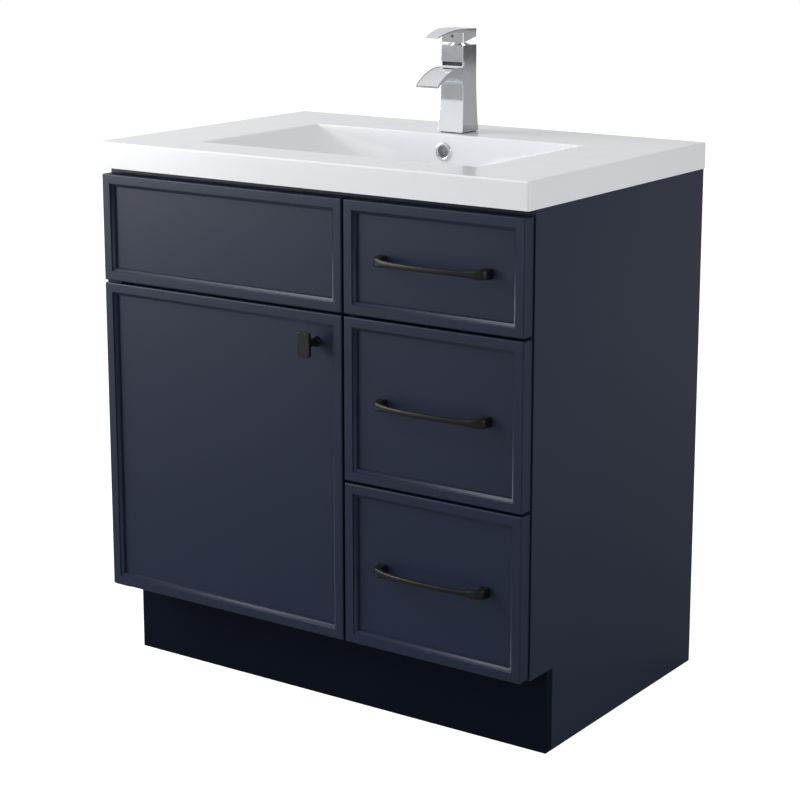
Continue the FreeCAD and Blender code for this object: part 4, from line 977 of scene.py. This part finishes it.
def addFaucetHandle():
    look = handleLook
    low, high = (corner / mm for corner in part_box("faucet_handle"))
    half = look["width"] / 2
    backY, tipY = high.y, low.y
    frontY = backY - look["depth"]
    foot, top = low.z, high.z
    tipTop = top - look["tipDrop"]
    leverTop = bulgedLine((frontY + look["leverStart"], top), (tipY, tipTop), look["leverTop"],
                          look["steps"])
    leverUnder = bulgedLine((tipY + look["tipSlant"], tipTop - look["tipThickness"]),
                            (frontY, foot + look["frontFace"]), look["leverUnder"], look["steps"])
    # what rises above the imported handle's top is let down by as much
    highest = max(z for y, z in leverTop)
    leverTop = [(y, z - (highest - top) * (z > top)) for y, z in leverTop]
    outline = [(frontY, foot), (backY, foot + look["rearRise"]), (backY, top - look["blockTop"])]
    outline += leverTop + leverUnder
    bm = slabShape([(y * mm, z * mm) for y, z in outline], -half * mm, half * mm)
    wall = look["wall"]
    hollow = boxShape(Vector((-half + wall, frontY + wall, foot - 1)) * mm,
                      Vector((half - wall, backY - wall, top - wall)) * mm)
    bm = carveShape(bm, [hollow])
    taperY = frontY + look["taperStart"]
    for vert in bm.verts:
        share = min(1.0, max(0.0, (taperY - vert.co.y / mm) / (taperY - tipY)))
        vert.co.x *= 1 - (1 - look["tipHalf"] / half) * share ** look["taperPower"]
    addPiece("faucet-handle-lever", bm, finishes["chromePlate"], "faucet_lever",
             ["faucet_handle"], look["sharpAngle"], look["edge"] * mm)


addFaucetBody()
addFaucetHandle()
print("faucet made")


# Floor, light and camera.

stageLook = {
    "floorHalf": 12.0, "floor": (0.36, 0.36, 0.36), "floorRoughness": 0.9, "floorGlow": 0.92,
    "mirrorGlow": 0.24, "glowStart": 1.3, "glowEnd": 3.8, "backdrop": 1.0,
    "brightSide": (-0.9, -0.3, 0.3), "turn": 0.8, "bright": 0.74, "dim": 0.27, "mirrorBright": 1.0,
    "mirrorDim": 0.10,
}
lightLook = [
    # name, place, aim, size, power
    ("keyLight", (-2.9, -2.8, 0.85), (-0.1, -0.1, 0.7), 0.85, 36),
    ("highLight", (-3.6, -1.8, 2.6), (0.0, 0.0, 0.8), 2.4, 156),
    ("fillLight", (3.6, -0.3, 1.4), (0.0, 0.0, 0.6), 2.0, 54),
]
cameraLook = {"place": (1.8063, -2.5954, 1.2264), "azimuth": 34.76, "elevation": 11.93,
              "sensor": 36, "lens": 94.14, "shift": -0.1}


def addFloor():
    bm = bmesh.new()
    bmesh.ops.create_grid(bm, x_segments=1, y_segments=1, size=stageLook["floorHalf"])
    floor = looseObject("studioFloor", bm)
    material = bpy.data.materials.new("studioFloor")
    material.use_nodes = True
    nodes, links = material.node_tree.nodes, material.node_tree.links
    shader = nodes["Principled BSDF"]
    shader.inputs["Base Color"].default_value = (*stageLook["floor"], 1)
    shader.inputs["Roughness"].default_value = stageLook["floorRoughness"]
    shader.inputs["Specular IOR Level"].default_value = 0.0
    # its glow is seen by the camera, and less by mirror rays that land far out, and lights nothing
    path = nodes.new("ShaderNodeLightPath")
    coordinates = nodes.new("ShaderNodeTexCoord")
    away = nodes.new("ShaderNodeVectorMath")
    away.operation = "LENGTH"
    links.new(coordinates.outputs["Object"], away.inputs[0])
    rising = nodes.new("ShaderNodeMapRange")
    rising.inputs["From Min"].default_value = stageLook["glowStart"]
    rising.inputs["From Max"].default_value = stageLook["glowEnd"]
    rising.inputs["To Max"].default_value = stageLook["mirrorGlow"]
    links.new(away.outputs["Value"], rising.inputs["Value"])
    mirrored = nodes.new("ShaderNodeMath")
    mirrored.operation = "MULTIPLY"
    links.new(rising.outputs["Result"], mirrored.inputs[0])
    links.new(path.outputs["Is Glossy Ray"], mirrored.inputs[1])
    glow = nodes.new("ShaderNodeMath")
    glow.operation = "MULTIPLY_ADD"
    glow.inputs[1].default_value = stageLook["floorGlow"]
    links.new(path.outputs["Is Camera Ray"], glow.inputs[0])
    links.new(mirrored.outputs[0], glow.inputs[2])
    shader.inputs["Emission Color"].default_value = (1, 1, 1, 1)
    links.new(glow.outputs[0], shader.inputs["Emission Strength"])
    floor.data.materials.append(material)


def addWorld():
    # a soft surround, brighter on the left and above and dimmer on the right; one pair of levels is
    # the light that it gives, and the other is what mirror rays see
    world = bpy.data.worlds.new("studioWorld")
    scene.world = world
    world.use_nodes = True
    nodes, links = world.node_tree.nodes, world.node_tree.links
    nodes.clear()
    out = nodes.new("ShaderNodeOutputWorld")
    lit, seen = nodes.new("ShaderNodeBackground"), nodes.new("ShaderNodeBackground")
    for background in (lit, seen):
        background.inputs["Color"].default_value = (1, 1, 1, 1)
    coordinates = nodes.new("ShaderNodeTexCoord")
    facing = nodes.new("ShaderNodeVectorMath")
    facing.operation = "DOT_PRODUCT"
    facing.inputs[1].default_value = stageLook["brightSide"]
    links.new(coordinates.outputs["Generated"], facing.inputs[0])
    levels = []
    for dim, bright in ((stageLook["dim"], stageLook["bright"]),
                        (stageLook["mirrorDim"], stageLook["mirrorBright"])):
        level = nodes.new("ShaderNodeMapRange")
        level.inputs["From Min"].default_value = -stageLook["turn"]
        level.inputs["From Max"].default_value = stageLook["turn"]
        level.inputs["To Min"].default_value = dim
        level.inputs["To Max"].default_value = bright
        links.new(facing.outputs["Value"], level.inputs["Value"])
        levels.append(level.outputs["Result"])
    path = nodes.new("ShaderNodeLightPath")
    strength = nodes.new("ShaderNodeMix")
    links.new(path.outputs["Is Glossy Ray"], strength.inputs["Factor"])
    links.new(levels[0], strength.inputs["A"])
    links.new(levels[1], strength.inputs["B"])
    links.new(strength.outputs["Result"], lit.inputs["Strength"])
    seen.inputs["Strength"].default_value = stageLook["backdrop"]
    mix = nodes.new("ShaderNodeMixShader")
    links.new(path.outputs["Is Camera Ray"], mix.inputs["Fac"])
    links.new(lit.outputs[0], mix.inputs[1])
    links.new(seen.outputs[0], mix.inputs[2])
    links.new(mix.outputs[0], out.inputs["Surface"])


def addLight(name, place, aim, size, power):
    light = bpy.data.lights.new(name, "AREA")
    light.shape = "SQUARE"
    light.size = size
    light.energy = power
    lamp = bpy.data.objects.new(name, light)
    lamp.location = place
    lamp.rotation_euler = (Vector(aim) - Vector(place)).to_track_quat("-Z", "Y").to_euler()
    scene.collection.objects.link(lamp)


def addCamera():
    azimuth, elevation = math.radians(cameraLook["azimuth"]), math.radians(cameraLook["elevation"])
    forward = Vector((-math.sin(azimuth) * math.cos(elevation), math.cos(azimuth) * math.cos(elevation),
                      -math.sin(elevation)))
    data = bpy.data.cameras.new("viewCamera")
    data.sensor_width = cameraLook["sensor"]
    data.lens = cameraLook["lens"]
    data.shift_y = cameraLook["shift"]
    camera = bpy.data.objects.new("viewCamera", data)
    camera.location = cameraLook["place"]
    camera.rotation_euler = forward.to_track_quat("-Z", "Y").to_euler()
    scene.collection.objects.link(camera)
    scene.camera = camera


addFloor()
addWorld()
for settings in lightLook:
    addLight(*settings)
addCamera()
scene.view_settings.view_transform = "Standard"
print("stage, light and camera set")
